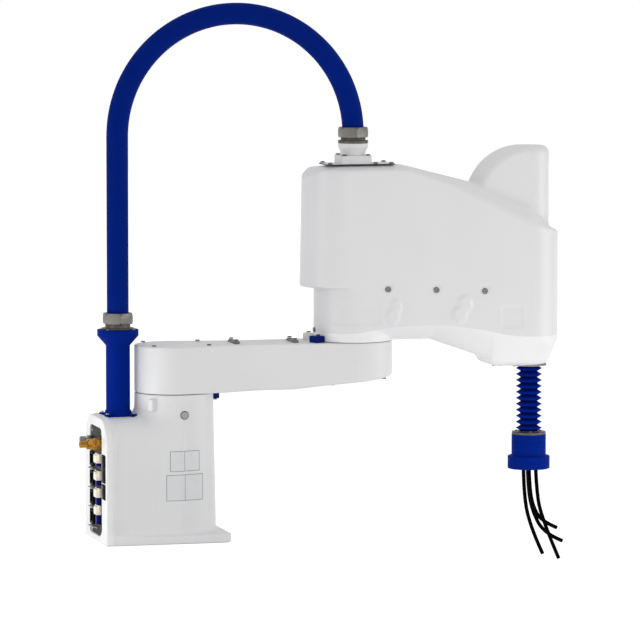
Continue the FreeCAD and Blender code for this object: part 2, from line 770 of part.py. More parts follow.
# Two arc pads on the first arm's top stop the second arm, and a block under it meets the column's lugs
def stop_bumpers():
    pads = []
    r_in = shell_half + bumper_gap
    reach = 1.5 * r_in
    for side, spot in zip((-1, 1), j2_bumper_spots()):
        arc = tube(x_j2, 0, arm1_high, arm1_high + bumper_h, r_in, r_in + bumper_t)
        ends = [(x_j2 - reach * math.cos(math.radians(a)), side * reach * math.sin(math.radians(a)))
                for a in (15.0, 30.5)]
        pad = arc.common(slab_z([(x_j2, 0)] + ends, arm1_high - 1, arm1_high + bumper_h + 1))
        hole = screw_hole(spot[0], spot[1], arm1_high - 1, arm1_high + bumper_h + 1, lid_screw_r)
        pads.append(pad.cut(hole))
    x = front_bumper_x()
    low = arm1_low - front_bumper_h
    block = rounded_plate_z(x - 8.5, x + 8.5, -11, 11, low, arm1_low, 4)
    block = block.cut(rod(0, 0, low - 1, arm1_low + 1, column_r_top + 1.2))
    block = block.cut(screw_hole(x, 0, low - 1, arm1_low + 1, lid_screw_r))
    return group(pads + [block])


def reducer_screws():
    screws = [cap_screw(x, y, arm1_low + 12, 3, 22) for x, y in bolt_circle(0, 0, flange_bolt_r, 8, 22.5)]
    for x, y in ring_screw_spots():
        seat = under_arm1(x)
        screws.append(cap_screw(x, y, seat, 4, j2_floor + 10 - seat, -1))
    return group(screws)


def j1_output():
    part = reducer_output(0, web_high + 3, web_high + 30, arm1_low)
    spots = bolt_circle(0, 0, flange_bolt_r, 8, 22.5)
    holes = [screw_hole(x, y, arm1_low - 23, arm1_low + 1, 3) for x, y in spots]
    return part.cut(Part.makeCompound(holes))


def j2_ring():
    ring = reducer_ring(x_j2, j2_floor, arm1_high - 4.5, j2_ring_out_r)
    holes = [screw_hole(x, y, j2_floor - 1, j2_floor + 12, 4) for x, y in ring_screw_spots()]
    return ring.cut(Part.makeCompound(holes))


def j2_output():
    part = reducer_output(x_j2, j2_floor + 4, j2_floor + 26, hub2_low)
    spots = bolt_circle(x_j2, 0, flange_bolt_r, 8, 22.5)
    holes = [screw_hole(x, y, hub2_low - 22.5, hub2_low + 1, 3) for x, y in spots]
    return part.cut(Part.makeCompound(holes))


# Second arm, drawn by cross-sections along X
def plan_half(x, r):
    if x < shell_rear_x:
        return math.sqrt(max(r * r - (shell_rear_x - x) ** 2, 9.0))
    if x > shell_front_x:
        return math.sqrt(max(r * r - (x - shell_front_x) ** 2, 9.0))
    return r


def stations(x0, x1, r, extra):
    xs = [x0, x1] + [x for x in extra if x0 < x < x1]
    for k in range(1, 9):
        a = math.radians(90 - 10.5 * k)
        xs.append(shell_rear_x - r * math.cos(a))
        xs.append(shell_front_x + r * math.cos(a))
    return sorted({round(x, 3) for x in xs if x0 <= x <= x1})


def ruled(sections):
    wires = []
    for x, points in sections:
        ring = [FreeCAD.Vector(x, y, z) for y, z in points]
        wires.append(Part.makePolygon(ring + [ring[0]]))
    return Part.makeLoft(wires, True, True)


def shell_upper(inset):
    r = shell_half - inset
    low = overhang_low + inset
    knots = [x for x, z in roof_line + side_line + roof_inset]
    sections = []
    for x in stations(shell_rear_x - r, shell_front_x + r, r, knots):
        w = plan_half(x, r)
        side = at(side_line, x) - inset
        roof = at(roof_line, x) - inset
        top = min(shell_half - at(roof_inset, x) - inset * 0.6, w - 0.8)
        sections.append((x, [(-w, low), (w, low), (w, side), (top, roof), (-top, roof), (-w, side)]))
    return ruled(sections)


def hull_prism(x0, x1, r, z0, z1):
    v = FreeCAD.Vector
    rear = Part.Arc(v(x0, r, z0), v(x0 - r, 0, z0), v(x0, -r, z0)).toShape()
    front = Part.Arc(v(x1, -r, z0), v(x1 + r, 0, z0), v(x1, r, z0)).toShape()
    near = Part.makeLine(v(x0, -r, z0), v(x1, -r, z0))
    far = Part.makeLine(v(x1, r, z0), v(x0, r, z0))
    return Part.Face(Part.Wire([rear, near, front, far])).extrude(v(0, 0, z1 - z0))


def shell_skirt(inset):
    return hull_prism(x_j2, shell_front_x, shell_half - inset, hub2_low - 30, overhang_low + 2 * inset + 1)


# Raised hood over the lifting shaft: rounded in plan and in both side views
def hump(inset):
    v = FreeCAD.Vector
    r = hump_r - inset
    top = hump_top - inset
    low = hump_foot - 140 - inset
    rear = hump_rear + inset
    front = hump_x + r + 2
    reach = r + 2
    plan = hull_prism(hump_rear + r, hump_x, r, low, hump_top + 1)
    plan = plan.fuse(box(hump_rear, hump_x, -r, r, low, hump_top + 1))
    a = v(rear, -reach, hump_foot)
    b = v(hump_rear + 50 + inset * 0.7, -reach, hump_top - 29 - inset * 0.7)
    c = v(hump_x - 16.7, -reach, top)
    d = v(front - 20, -reach, top)
    e = v(front, -reach, top - 22)
    f = v(front, -reach, low - 5)
    g = v(rear, -reach, low - 5)
    edges = [Part.Arc(a, b, c).toShape()]
    for p, q in ((c, d), (d, e), (e, f), (f, g), (g, a)):
        edges.append(Part.makeLine(p, q))
    side = Part.Face(Part.Wire(edges)).extrude(v(0, 2 * reach, 0))
    half = [(r + 1, low - 5), (r + 1, top - 24), (r - 6, top - 9), (r - 20, top + 0.5)]
    ridge = [(-y, z) for y, z in half] + [(y, z) for y, z in reversed(half)]
    crown = face_of([(rear - 5, y, z) for y, z in ridge]).extrude(v(front - rear + 10, 0, 0))
    return plan.common(side).common(crown)


def below_seam(lift):
    points = [(x, z + lift) for x, z in seam_line]
    ends = [(points[-1][0], hub2_low - 150), (points[0][0], hub2_low - 150)]
    return slab_y(points + ends, -shell_half - 10, shell_half + 10)


def cover_screw_spots():
    return [(x_j2 + 63, deck_top + 78), (x_j2 + 185, deck_top + 74), (x_j3 - 142, deck_top + 69)]


def duct_screw_spots():
    spots = ((-67, 37), (-14, 41), (47, 37), (87, 37))
    return [(x_j2 + x, side * y) for x, y in spots for side in (-1, 1)]


def arm2_cover():
    outer = join([shell_upper(0), shell_skirt(0), hump(0)])
    inner = join([shell_upper(shell_t), shell_skirt(shell_t), hump(shell_t)])
    low = shell_top - 2 * shell_t
    cuts = [inner, below_seam(0.5), rod(x_j2, 0, low, shell_top + 1, duct_r - duct_wall)]
    reach = shell_half + 1
    cuts.append(rod_x(x_j2 - reach, x_j2 - shell_half + 2 * shell_t, 0, hub_screw_z, hub_screw_r + 0.15))
    for x, z in cover_screw_spots():
        cuts.append(rod_y(x, -reach, -shell_half + screw_recess, z, cover_head_r + 1))
        cuts.append(rod_y(x, shell_half - screw_recess, reach, z, cover_head_r + 1))
        cuts.append(rod_y(x, -reach, reach, z, cover_screw_r + 0.15))
    for x, y in duct_screw_spots():
        if abs(x - x_j2) > block_half or abs(y) > block_half:
            cuts.append(screw_hole(x, y, low, shell_top + 1, duct_screw_r))
    return outer.cut(Part.makeCompound(cuts))


def cover_screws():
    screws = []
    face = shell_half - screw_recess
    for x, z in cover_screw_spots():
        for side in (-1, 1):
            head = rod_y(x, face, face + 4, z, cover_head_r)
            key = hexagon(x, 0, 0, 5, 4.6)
            key.rotate(FreeCAD.Vector(x, 0, 0), FreeCAD.Vector(1, 0, 0), -90)
            key.translate(FreeCAD.Vector(0, face + 1.8, z))
            screw = join([head.cut(key), rod_y(x, face - 12.8, face, z, cover_screw_r)])
            if side < 0:
                screw = screw.mirror(FreeCAD.Vector(0, 0, 0), FreeCAD.Vector(0, 1, 0))
            screws.append(screw)
    return group(screws)


def belly():
    knots = [x for x, z in seam_line + belly_line + belly_inset] + [x_j3 + 10, x_j3 + 60]
    sections = []
    for x in stations(x_j2 - 20, shell_front_x + shell_half - 0.3, shell_half, knots):
        w = plan_half(x, shell_half)
        seam = at(seam_line, x)
        low = at(belly_line, x)
        half = min(shell_half - at(belly_inset, x), w - 1)
        sections.append((x, [(-half, low), (half, low), (w, seam), (-w, seam)]))
    return ruled(sections)


def turn_bracket():
    x, y = turn_motor_xy
    half = motor_half + 6
    wall = box(x - half, x + half, core_r - 8, core_r, deck_top - 5, motor_foot_z)
    plate = box(x - half, x + half, y - motor_half - 4, core_r, motor_foot_z - 10, motor_foot_z)
    hole = rod(x, y, motor_foot_z - 20, motor_foot_z + 10, shaft_r)
    return join([wall, plate]).cut(hole)


def deck():
    half = shell_half - shell_t - deck_gap
    inner = hull_prism(x_j2, shell_front_x, half, hub2_low + 10, deck_top)
    return inner.cut(below_seam(-1.0))


def arm2_frame():
    hub = rod(x_j2, 0, hub2_low, seam_hub, shell_half)
    core = rod(x_j2, 0, hub2_low, deck_top, core_r)
    lugs = []
    for x, z in cover_screw_spots():
        for side in (-1, 1):
            y0 = side * (shell_half - shell_t)
            y1 = side * (shell_half - shell_t - cover_lug_t)
            lugs.append(box(x - 8, x + 8, min(y0, y1), max(y0, y1), deck_top - 2, z + 9))
    solid = join([belly(), hub, core, deck(), turn_bracket()] + lugs)
    cuts = [rod(x_j2, 0, hub2_low - 1, deck_top + 1, shaft_r + 10)]
    cuts.append(rod(x_j3, 0, nose_low - 20, deck_top + 1, barrel_r))
    floor = deck_top - 38
    half = shell_half - 36.5
    pocket = rounded_plate_z(x_j2 + 110, x_j3 - 70, -half, half, floor, deck_top + 1, 15)
    x = lift_motor_xy[0]
    ribs = [box(x - 4, x + 4, -half - 1, half + 1, floor - 5, deck_top) for x in (x_j2 + 175, x_j3 - 100)]
    pad = box(x - 44, x + 44, -half - 1, half + 1, floor - 5, deck_top)
    cuts.append(pocket.cut(Part.makeCompound(ribs + [pad])))
    for x, y in bolt_circle(x_j2, 0, flange_bolt_r, 8, 22.5):
        cuts.append(screw_hole(x, y, hub2_low - 1, hub2_low + 14, 3))
        cuts.append(rod(x, y, hub2_low + 13, deck_top + 1, 5.4))
    for x, y in corners(x_j2, 0, motor_bolt_2, motor_bolt_2):
        cuts.append(screw_hole(x, y, deck_top - 13, deck_top + 1, motor_screw_r))
    deep = shell_half - shell_t - cover_lug_t + 0.5
    for x, z in cover_screw_spots():
        cuts.append(rod_y(x, -shell_half - 1, -deep, z, cover_screw_r + 0.15))
        cuts.append(rod_y(x, deep, shell_half + 1, z, cover_screw_r + 0.15))
    for x, y in nose_screw_spots():
        cuts.append(screw_hole(x, y, nose_low - 20, nose_low + 21, nose_screw_r))
    cuts.append(screw_hole(belly_screw_x, 0, nose_low - 20, nose_low + 21, belly_screw_r))
    cuts.append(rod_x(x_j2 - shell_half - 1, x_j2 - shell_half + 14, 0, hub_screw_z, hub_screw_r + 0.15))
    return solid.cut(Part.makeCompound(cuts))


def nose_screw_spots():
    return [(x_j3 - nose_bolt, 0), (x_j3 + nose_bolt, 0), (x_j3, nose_bolt)]


def nose_ring():
    plate = tube(x_j3, 0, boot_high, nose_low, tool_shaft_r + 2, nose_bolt + 5)
    holes = [screw_hole(x, y, boot_high - 1, nose_low + 1, nose_screw_r) for x, y in nose_screw_spots()]
    return plate.cut(Part.makeCompound(holes))


def nose_screws():
    screws = [cap_screw(x, y, boot_high, nose_screw_r, 22, -1) for x, y in nose_screw_spots()]
    screws.append(cap_screw(belly_screw_x, 0, nose_low, belly_screw_r, 18, -1))
    return group(screws)


def duct_plate():
    z = shell_top
    plate = rounded_plate_z(plate_x[0], plate_x[1], -plate_half, plate_half, z, z + plate_t, 8)
    holes = [screw_hole(x, y, z - 1, z + plate_t + 1, duct_screw_r) for x, y in duct_screw_spots()]
    holes.append(rod(x_j2, 0, z - 1, z + 20, duct_r - duct_wall))
    return plate.cut(Part.makeCompound(holes))


def duct_screws():
    z = shell_top + plate_t
    r = duct_screw_r
    outside = [(x, y) for x, y in duct_screw_spots() if abs(x - x_j2) > block_half]
    screws = [cap_screw(x, y, z, r, plate_t + 6) for x, y in outside]
    screws += [cap_screw(x, y, z + block_h, r, 14) for x, y in corners(x_j2, 0, block_bolt, block_bolt)]
    return group(screws)


def duct_block():
    z = shell_top + plate_t
    block = rounded_plate_z(x_j2 - block_half, x_j2 + block_half, -block_half, block_half, z, z + block_h, 5)
    spots = corners(x_j2, 0, block_bolt, block_bolt)
    holes = [screw_hole(x, y, z + block_h - 16, z + block_h + 1, duct_screw_r) for x, y in spots]
    holes.append(rod(x_j2, 0, z - 1, z + block_h + 1, duct_r - duct_wall))
    return block.cut(Part.makeCompound(holes))


def cup_low():
    return shell_top + plate_t + block_h


def top_nut_low():
    return cup_low() + cup_h + 14


def top_nut_high():
    return top_nut_low() + 25


def duct_cup():
    z = cup_low()
    low = rod(x_j2, 0, z, z + 9, cup_low_r)
    rise = cone(x_j2, 0, z + 9, z + 20, cup_low_r, cup_high_r)
    band = rod(x_j2, 0, z + 20, z + cup_h, cup_high_r)
    return join([low, rise, band]).cut(rod(x_j2, 0, z - 1, z + cup_h + 1, duct_r - duct_wall))


def duct_gland():
    return gland_body(x_j2, cup_low() + cup_h, top_nut_low(), cup_high_r + 0.3, 7)


def duct_nut():
    return gland_nut(x_j2, top_nut_low(), top_nut_high())


def j2_motor():
    z = deck_top
    flange = rounded_plate_z(x_j2 - 54, x_j2 + 54, -54, 54, z, z + 10, 8)
    body = rounded_plate_z(x_j2 - 46, x_j2 + 46, -46, 46, z + 10, z + 120, 8)
    lid = rounded_plate_z(x_j2 - 42, x_j2 + 42, -42, 42, z + 120, z + 150, 8)
    bore = rod(x_j2, 0, z - 1, z + 60, shaft_r + run_gap)
    spots = corners(x_j2, 0, motor_bolt_2, motor_bolt_2)
    holes = [screw_hole(x, y, z - 1, z + 11, motor_screw_r) for x, y in spots]
    pocket = [rod(x, y, z + 10, z + 200, 2 * motor_screw_r + 0.2) for x, y in spots]
    case = [part.cut(Part.makeCompound(pocket)) for part in (body, lid)]
    return join([flange] + case).cut(Part.makeCompound(holes + [bore]))


def hub_screws():
    spots = corners(x_j2, 0, motor_bolt_2, motor_bolt_2)
    screws = [cap_screw(x, y, deck_top + 10, motor_screw_r, 20) for x, y in spots]
    face = x_j2 - shell_half
    head = rod_x(face - 4, face, 0, hub_screw_z, hub_screw_head_r)
    screws.append(join([head, rod_x(face, face + 13, 0, hub_screw_z, hub_screw_r)]))
    screws += [cap_screw(x, y, hub2_low + 13, 3, 32) for x, y in bolt_circle(x_j2, 0, flange_bolt_r, 8, 22.5)]
    return group(screws)


def small_motor(x, y, z0, z1, z_shaft):
    body = rounded_plate_z(x - motor_half, x + motor_half, y - motor_half, y + motor_half, z0, z1, 6)
    end = z0 + 20 if z_shaft < z0 else z1 - 20
    return body.cut(rod(x, y, min(z_shaft, end), max(z_shaft, end), pulley_shaft_r + run_gap))


def lift_motor():
    x, y = lift_motor_xy
    return small_motor(x, y, deck_top, lift_belt_z - 12, lift_belt_z + 20)


def turn_motor():
    x, y = turn_motor_xy
    return small_motor(x, y, motor_foot_z, motor_foot_z + 117, turn_belt_z)


def toothed_pulley(x, y, z, r, teeth):
    half = belt_w / 2 + 2
    wheel = rod(x, y, z - half + 1, z + half - 1, r)
    grooves = [rod(gx, gy, z - half, z + half, 1.3) for gx, gy in bolt_circle(x, y, r, teeth, 0)]
    rims = [rod(x, y, z + s * half - 1, z + s * half + 1, r + 3) for s in (-1, 1)]
    return join([wheel.cut(Part.makeCompound(grooves))] + rims)


def small_pulley(xy, z, z_from, z_to):
    x, y = xy
    return join([toothed_pulley(x, y, z, small_pulley_r, 16), rod(x, y, z_from, z_to, pulley_shaft_r)])


def lift_pulley():
    return small_pulley(lift_motor_xy, lift_belt_z, lift_belt_z - 30, lift_belt_z + 10)


def turn_pulley():
    return small_pulley(turn_motor_xy, turn_belt_z, turn_belt_z - 10, motor_foot_z + 18)


def nut_with_pulley(z0, z1, z_pulley):
    body = join([rod(x_j3, 0, z0, z1, nut_r), toothed_pulley(x_j3, 0, z_pulley, pulley_r, 28)])
    return body.cut(rod(x_j3, 0, z0 - 1, z1 + 1, tool_shaft_r + 0.05))


def turn_nut():
    return nut_with_pulley(turn_nut_low, turn_nut_high, turn_belt_z)


def lift_nut():
    return nut_with_pulley(lift_nut_low, lift_nut_high, lift_belt_z)


def nut_housing():
    barrel = rod(x_j3, 0, nose_low, turn_belt_z - 18, barrel_r)
    rear = x_j3 - 66
    high = lift_nut_high - 8
    post = box(rear, rear + 16, -16, 16, deck_top, high)
    arm = box(rear, x_j3 + 44, -44, 44, high - 24, high)
    base = box(rear, x_j3, -16, 16, deck_top, deck_top + 12)
    whole = join([barrel, post, arm, base])
    seat = rod(x_j3, 0, turn_nut_low - 3, lift_nut_high + 8, nut_r + run_gap)
    bore = join([seat, rod(x_j3, 0, nose_low - 4, turn_nut_low - 2, tool_shaft_r + 1)])
    return whole.cut(bore)


def belt(xy, z):
    x, y = xy
    r0 = small_pulley_r + 0.3
    r1 = pulley_r + 0.3
    dx = x_j3 - x
    dy = -y
    gap = math.hypot(dx, dy)
    lean = math.asin((r1 - r0) / gap)
    turn = math.atan2(dy, dx)
    solids = []
    for grow in (belt_t, 0.0):
        pts = []
        for cx, cy, r, first, last in ((x, y, r0 + grow, 90 + math.degrees(lean), 270 - math.degrees(lean)),
                                       (x_j3, 0, r1 + grow, -90 - math.degrees(lean), 90 + math.degrees(lean))):
            for k in range(3):
                a = math.radians(first + (last - first) * k / 2) + turn
                pts.append(FreeCAD.Vector(cx + r * math.cos(a), cy + r * math.sin(a), z - belt_w / 2))
        edges = [Part.Arc(pts[0], pts[1], pts[2]).toShape(), Part.makeLine(pts[2], pts[3])]
        edges += [Part.Arc(pts[3], pts[4], pts[5]).toShape(), Part.makeLine(pts[5], pts[0])]
        solids.append(Part.Face(Part.Wire(edges)).extrude(FreeCAD.Vector(0, 0, belt_w)))
    return solids[0].cut(solids[1])


def belts():
    return group([belt(lift_motor_xy, lift_belt_z), belt(turn_motor_xy, turn_belt_z)])


# Pleated boot round the shaft
def boot():
    pitch = (boot_high - boot_low - 4) / boot_pleats
    outer = [(boot_root_r, boot_low), (boot_root_r, boot_low + 2)]
    for k in range(boot_pleats):
        z = boot_low + 2 + pitch * k
        outer.append((boot_out_r, z + pitch / 2 - 0.6))
        outer.append((boot_out_r, z + pitch / 2 + 0.6))
        outer.append((boot_root_r, z + pitch))
    outer.append((boot_root_r, boot_high))
    inner = [(r - boot_wall, z) for r, z in reversed(outer)]
    face = face_of([(x_j3 + r, 0, z) for r, z in outer + inner])
    return face.revolve(FreeCAD.Vector(x_j3, 0, 0), FreeCAD.Vector(0, 0, 1), 360)


def carriage_screw_spots():
    return bolt_circle(x_j3, 0, collar_r - 8.5, 6, 20)


def carriage_ring():
    ring = tube(x_j3, 0, collar_high + run_gap, boot_low, tool_shaft_r + run_gap, collar_r - 0.5)
    step = tube(x_j3, 0, boot_low - carriage_step, boot_low, boot_root_r + 4, collar_r + 0.5)
    holes = [screw_hole(x, y, boot_low - 6, boot_low + 1, 2) for x, y in carriage_screw_spots()]
    return ring.cut(step).cut(Part.makeCompound(holes))


def carriage_screws():
    return group([cap_screw(x, y, boot_low - carriage_step, 2, 4) for x, y in carriage_screw_spots()])


# Tool side
def spline_shaft():
    body = tube(x_j3, 0, collar_low + 16, shaft_top, tool_bore_r, tool_shaft_r)
    spots = bolt_circle(x_j3, 0, tool_shaft_r + 0.4, 4, 45)
    grooves = [rod(x, y, collar_high + 71, shaft_top + 1, 1.6) for x, y in spots]
    return body.cut(Part.makeCompound(grooves))


def tool_collar():
    parts = [rod(x_j3, 0, collar_step, collar_seam, collar_r)]
    parts.append(rod(x_j3, 0, collar_seam + 0.4, collar_high, collar_r))
    parts.append(rod(x_j3, 0, collar_seam - 0.6, collar_seam + 1, collar_r - 0.8))
    parts.append(rod(x_j3, 0, collar_low, collar_step, collar_wide_r))
    body = join(parts)
    rims = [e for e in body.Edges if e.BoundBox.XLength > 2 * collar_wide_r - 1 and e.BoundBox.ZLength < 0.1]
    body = body.makeFillet(2.5, rims)
    cuts = [rod(x_j3, 0, collar_low + 16, collar_high + 1, tool_shaft_r)]
    for x, y in cable_spots():
        cuts.append(rod(x, y, collar_low - 1, collar_low + 14, cable_r + 0.9))
    for x, y in bolt_circle(x_j3, 0, tool_bolt_r, 4, 45):
        cuts.append(rod(x, y, collar_low - 1, collar_low + 14, tool_hole_r))
    return body.cut(Part.makeCompound(cuts))


def cable_spots():
    return [(x_j3 + dx, y) for dx, y in cable_starts]


# Cables: each is a string of tangent arcs and straight runs in its own upright plane
def cable(route, r):
    v = [FreeCAD.Vector(*p) for p in route]
    edges = []
    start = v[0]
    for k in range(1, len(v) - 1):
        a = (v[k - 1] - v[k])
        b = (v[k + 1] - v[k])
        la = a.Length
        lb = b.Length
        a.normalize()
        b.normalize()
        half = (math.pi - a.getAngle(b)) / 2
        run = 0.45 * min(la, lb)
        radius = run / math.tan(half)
        p = v[k] + a * run
        q = v[k] + b * run
        to_mid = a + b
        to_mid.normalize()
        m = v[k] + to_mid * (radius / math.cos(half) - radius)
        edges.append(Part.makeLine(start, p))
        edges.append(Part.Arc(p, m, q).toShape())
        print("cable arc radius", round(radius, 1))
        start = q
    edges.append(Part.makeLine(start, v[-1]))
    path = Part.Wire(edges)
    way = v[1] - v[0]
    ring = Part.Wire(Part.makeCircle(r, v[0], way))
    solid = path.makePipeShell([ring], True, False)
    even = solid.Volume / math.pi / r / r
    print("cable length", round(path.Length, 1), "volume over section", round(even, 1))
    return solid


def cable_routes():
    top = collar_low + 13
    routes = []
    for (dx, y), bend in zip(cable_starts, cable_bends):
        routes.append([(x_j3 + dx, y, top)] + [(x_j3 + bx, y, collar_low + bz) for bx, bz in bend])
    return routes


nodes = {
    "base_casting": base_casting, "bottom_cover": bottom_cover, "base_screws": base_screws,
    "connector_panel": connector_panel, "panel_sockets": panel_sockets, "panel_plugs": panel_plugs,
    "panel_clips": panel_clips, "air_fittings": air_fittings, "blank_plates": blank_plates,
    "label_plates": label_plates, "side_plug": side_plug, "riser_pipe": riser_pipe,
    "riser_bolts": riser_bolts, "riser_gland": riser_gland, "riser_nut": riser_nut,
    "duct_hose": duct_hose, "j1_motor": j1_motor, "j1_motor_screws": j1_motor_screws,
    "j1_ring": lambda: reducer_ring(0, web_high, column_top - 7, ring_out_r),
    "j1_rotor": lambda: wave_rotor(0, web_high + 4, 18, web_low - 69, web_high + 22),
    "arm1_casting": arm1_casting, "arm1_lid": arm1_lid, "arm1_screws": arm1_screws,
    "cable_bars": cable_bars, "stop_bumpers": stop_bumpers, "reducer_screws": reducer_screws,
    "j1_output": j1_output,
    "j2_ring": j2_ring, "j2_output": j2_output,
    "arm2_frame": arm2_frame, "arm2_cover": arm2_cover, "cover_screws": cover_screws,
    "nose_ring": nose_ring, "nose_screws": nose_screws, "duct_plate": duct_plate,
    "duct_screws": duct_screws, "duct_block": duct_block, "duct_cup": duct_cup,
    "duct_gland": duct_gland, "duct_nut": duct_nut, "j2_motor": j2_motor, "hub_screws": hub_screws,
    "j2_rotor": lambda: wave_rotor(x_j2, j2_floor + 5, 16, j2_floor + 5, deck_top + 55),
    "lift_motor": lift_motor, "turn_motor": turn_motor, "lift_pulley": lift_pulley,
    "turn_pulley": turn_pulley, "turn_nut": turn_nut, "lift_nut": lift_nut, "nut_housing": nut_housing,
    "belts": belts, "boot": boot, "carriage_ring": carriage_ring,
    "carriage_screws": carriage_screws, "spline_shaft": spline_shaft,
    "tool_collar": tool_collar,
}
os.makedirs("parts", exist_ok=True)
for name, make in nodes.items():
    shape = make()
    shape.exportStep("parts/" + name + ".step")
    print(name, len(shape.Solids), round(shape.Volume / 1000, 1), shape.isValid())
for k, route in enumerate(cable_routes()):
    shape = cable(route, cable_r)
    shape.exportStep("parts/tool_cable_" + str(k + 1) + ".step")
    print("tool_cable", k + 1, len(shape.Solids), shape.isValid())
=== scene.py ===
import json
import math

import bmesh
import bpy
import numpy as np
from mathutils import Matrix, Vector

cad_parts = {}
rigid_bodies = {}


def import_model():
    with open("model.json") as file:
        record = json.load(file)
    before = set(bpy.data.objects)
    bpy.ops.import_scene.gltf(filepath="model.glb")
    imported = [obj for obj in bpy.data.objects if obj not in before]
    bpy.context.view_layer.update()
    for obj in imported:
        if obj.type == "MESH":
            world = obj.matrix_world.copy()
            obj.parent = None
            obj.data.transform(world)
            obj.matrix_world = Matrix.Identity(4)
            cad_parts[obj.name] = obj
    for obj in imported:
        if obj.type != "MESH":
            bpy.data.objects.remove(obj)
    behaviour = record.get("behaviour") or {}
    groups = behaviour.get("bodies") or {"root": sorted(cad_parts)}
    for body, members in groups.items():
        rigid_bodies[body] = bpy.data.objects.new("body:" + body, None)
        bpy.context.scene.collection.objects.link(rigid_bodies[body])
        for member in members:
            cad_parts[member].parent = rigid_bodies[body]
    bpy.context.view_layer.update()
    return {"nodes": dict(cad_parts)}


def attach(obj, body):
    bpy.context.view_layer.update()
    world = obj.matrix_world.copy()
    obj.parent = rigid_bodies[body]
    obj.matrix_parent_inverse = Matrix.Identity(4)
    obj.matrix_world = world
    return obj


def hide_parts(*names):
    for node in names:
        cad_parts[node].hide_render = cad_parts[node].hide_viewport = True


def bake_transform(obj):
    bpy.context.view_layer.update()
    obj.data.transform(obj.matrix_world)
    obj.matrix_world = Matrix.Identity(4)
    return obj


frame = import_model()
nodes = frame["nodes"]
MM = 0.001

# Axes of the arm and main heights, in millimetres as in the part's source
AXIS_2 = 450.0
AXIS_3 = 900.0
RISER_X = -138.0
HUB_R = 95.5
SHELL_R = 96.5
SEAM = 496.0
HUB_2 = 473.6
NOSE = 404.0
ROOF = 903.0
LINE_ENDS = (330, 985)

# First arm's underside: its height, where it starts to rise towards the hub, and how steeply
ARM_LOW = 361
ARM_BEND = 285
ARM_RISE = 0.10

# Connector panel and the plug on the column's side, in millimetres
PANEL_FACE = -190.5
PLUG_ROWS = 4
PLUG_PITCH = 41.8
PLUG_SPLIT = 193.0
PLUG_Y = -31.5
STEEL_Y = 46.0
STEEL_HALF = 12.8
SIDE_PLUG = (5.0, 309.0)
SIDE_PLUG_R = 8.7

# Duct, boot, screw heads and doubles, in metres; a head's other sizes are parts of its radius
HOSE_R = 0.0263
CREST_R = 0.0322
ROOT_R = 0.0205
BOOT_HIGH = 0.400
BOOT_LOW = 0.237
ARM_MIDDLE = 0.42
WELD = 0.00002
HEAD = {"Size": 0.005, "Tall": 0.73, "Bevel": 0.16, "Socket": 0.5}
HEAD_TALL = 1.2 / 1.64

# Turn of the two nuts, in degrees
NUT_TURN = 15

# Grid steps of the skins, in millimetres: second arm, base and first arm
ARM_2_STEP, BASE_STEP, ARM_1_STEP = [fine for fine in (3.3, 3.6, 3.4)]


def along(near_hub, near_nose):
    return [(AXIS_2 + x, v) for x, v in near_hub] + [(AXIS_3 + x, v) for x, v in near_nose]


SEAM_LINE = along([(-150, SEAM), (-19, SEAM + 1), (59, SEAM + 12), (107, SEAM + 16), (171, SEAM + 17)],
                  [(-216, SEAM + 14), (-146, SEAM + 3), (-82, SEAM - 11), (-38, SEAM - 16), (90, SEAM - 18)])
ROOF_LINE = along([(-132, ROOF - 21), (-95, ROOF), (115, ROOF)],
                  [(-150, ROOF - 48), (-10, ROOF - 103), (30, ROOF - 135), (69, ROOF - 165)])
SIDE_LINE = along([(-132, ROOF - 27), (-95, ROOF - 8), (117, ROOF - 8)],
                  [(-232, ROOF - 44), (-156, ROOF - 81), (-105, ROOF - 106), (-25, ROOF - 141),
                   (4, ROOF - 153), (69, ROOF - 167)])
ROOF_INSET = along([(-150, 40), (117, 40)], [(-200, 36.5), (-28, 38.5), (5, 44.5), (35, 58.5), (69, 91.5)])
BELLY_LINE = along([(-50, HUB_2), (186, HUB_2)],
                   [(-125, NOSE + 21), (-116, NOSE + 6), (-100, NOSE), (43, NOSE), (53, NOSE + 33),
                    (69, HUB_2)])
BELLY_INSET = along([(-50, 51.5), (186, 51.5)],
                    [(-125, 34.5), (-20, 36.5), (0, 41.5), (20, 51.5), (35, 66.5), (43, 82.5), (69, 93.5)])


# Objects
def place(name, mesh):
    piece = bpy.data.objects.new(name, mesh)
    bpy.context.scene.collection.objects.link(piece)
    return piece


def mesh_from(name, points, faces):
    mesh = bpy.data.meshes.new(name)
    mesh.from_pydata([tuple(p) for p in points], [], [tuple(f) for f in faces])
    mesh.update()
    return mesh


# The mesh that a piece's modifiers make, in place of its own
def baked(piece):
    shapes = bpy.context.evaluated_depsgraph_get()
    shapes.update()
    mesh = bpy.data.meshes.new_from_object(piece.evaluated_get(shapes))
    piece.modifiers.clear()
    piece.data = mesh
    return piece


def smooth(piece, angle=32.0):
    mesh = piece.data
    mesh.shade_smooth()
    mesh.set_sharp_from_angle(angle=math.radians(angle))
    return piece


# Camera, at the photograph's place and angle
def aim_camera():
    lens = bpy.data.cameras.new("camera")
    lens.lens = 281.25
    lens.sensor_width = 36.0
    lens.clip_end = 60.0
    camera = place("camera", lens)
    spot = Vector((-2.6824, -11.7732, 1.5959))
    target = Vector((0.36676, 0.0, 0.52335))
    camera.location = spot
    camera.rotation_euler = (target - spot).to_track_quat("-Z", "Y").to_euler()
    bpy.context.scene.camera = camera


aim_camera()


# Materials
def linear(colour):
    return [c / 255 / 12.92 if c <= 10 else ((c / 255 + 0.055) / 1.055) ** 2.4 for c in colour] + [1.0]


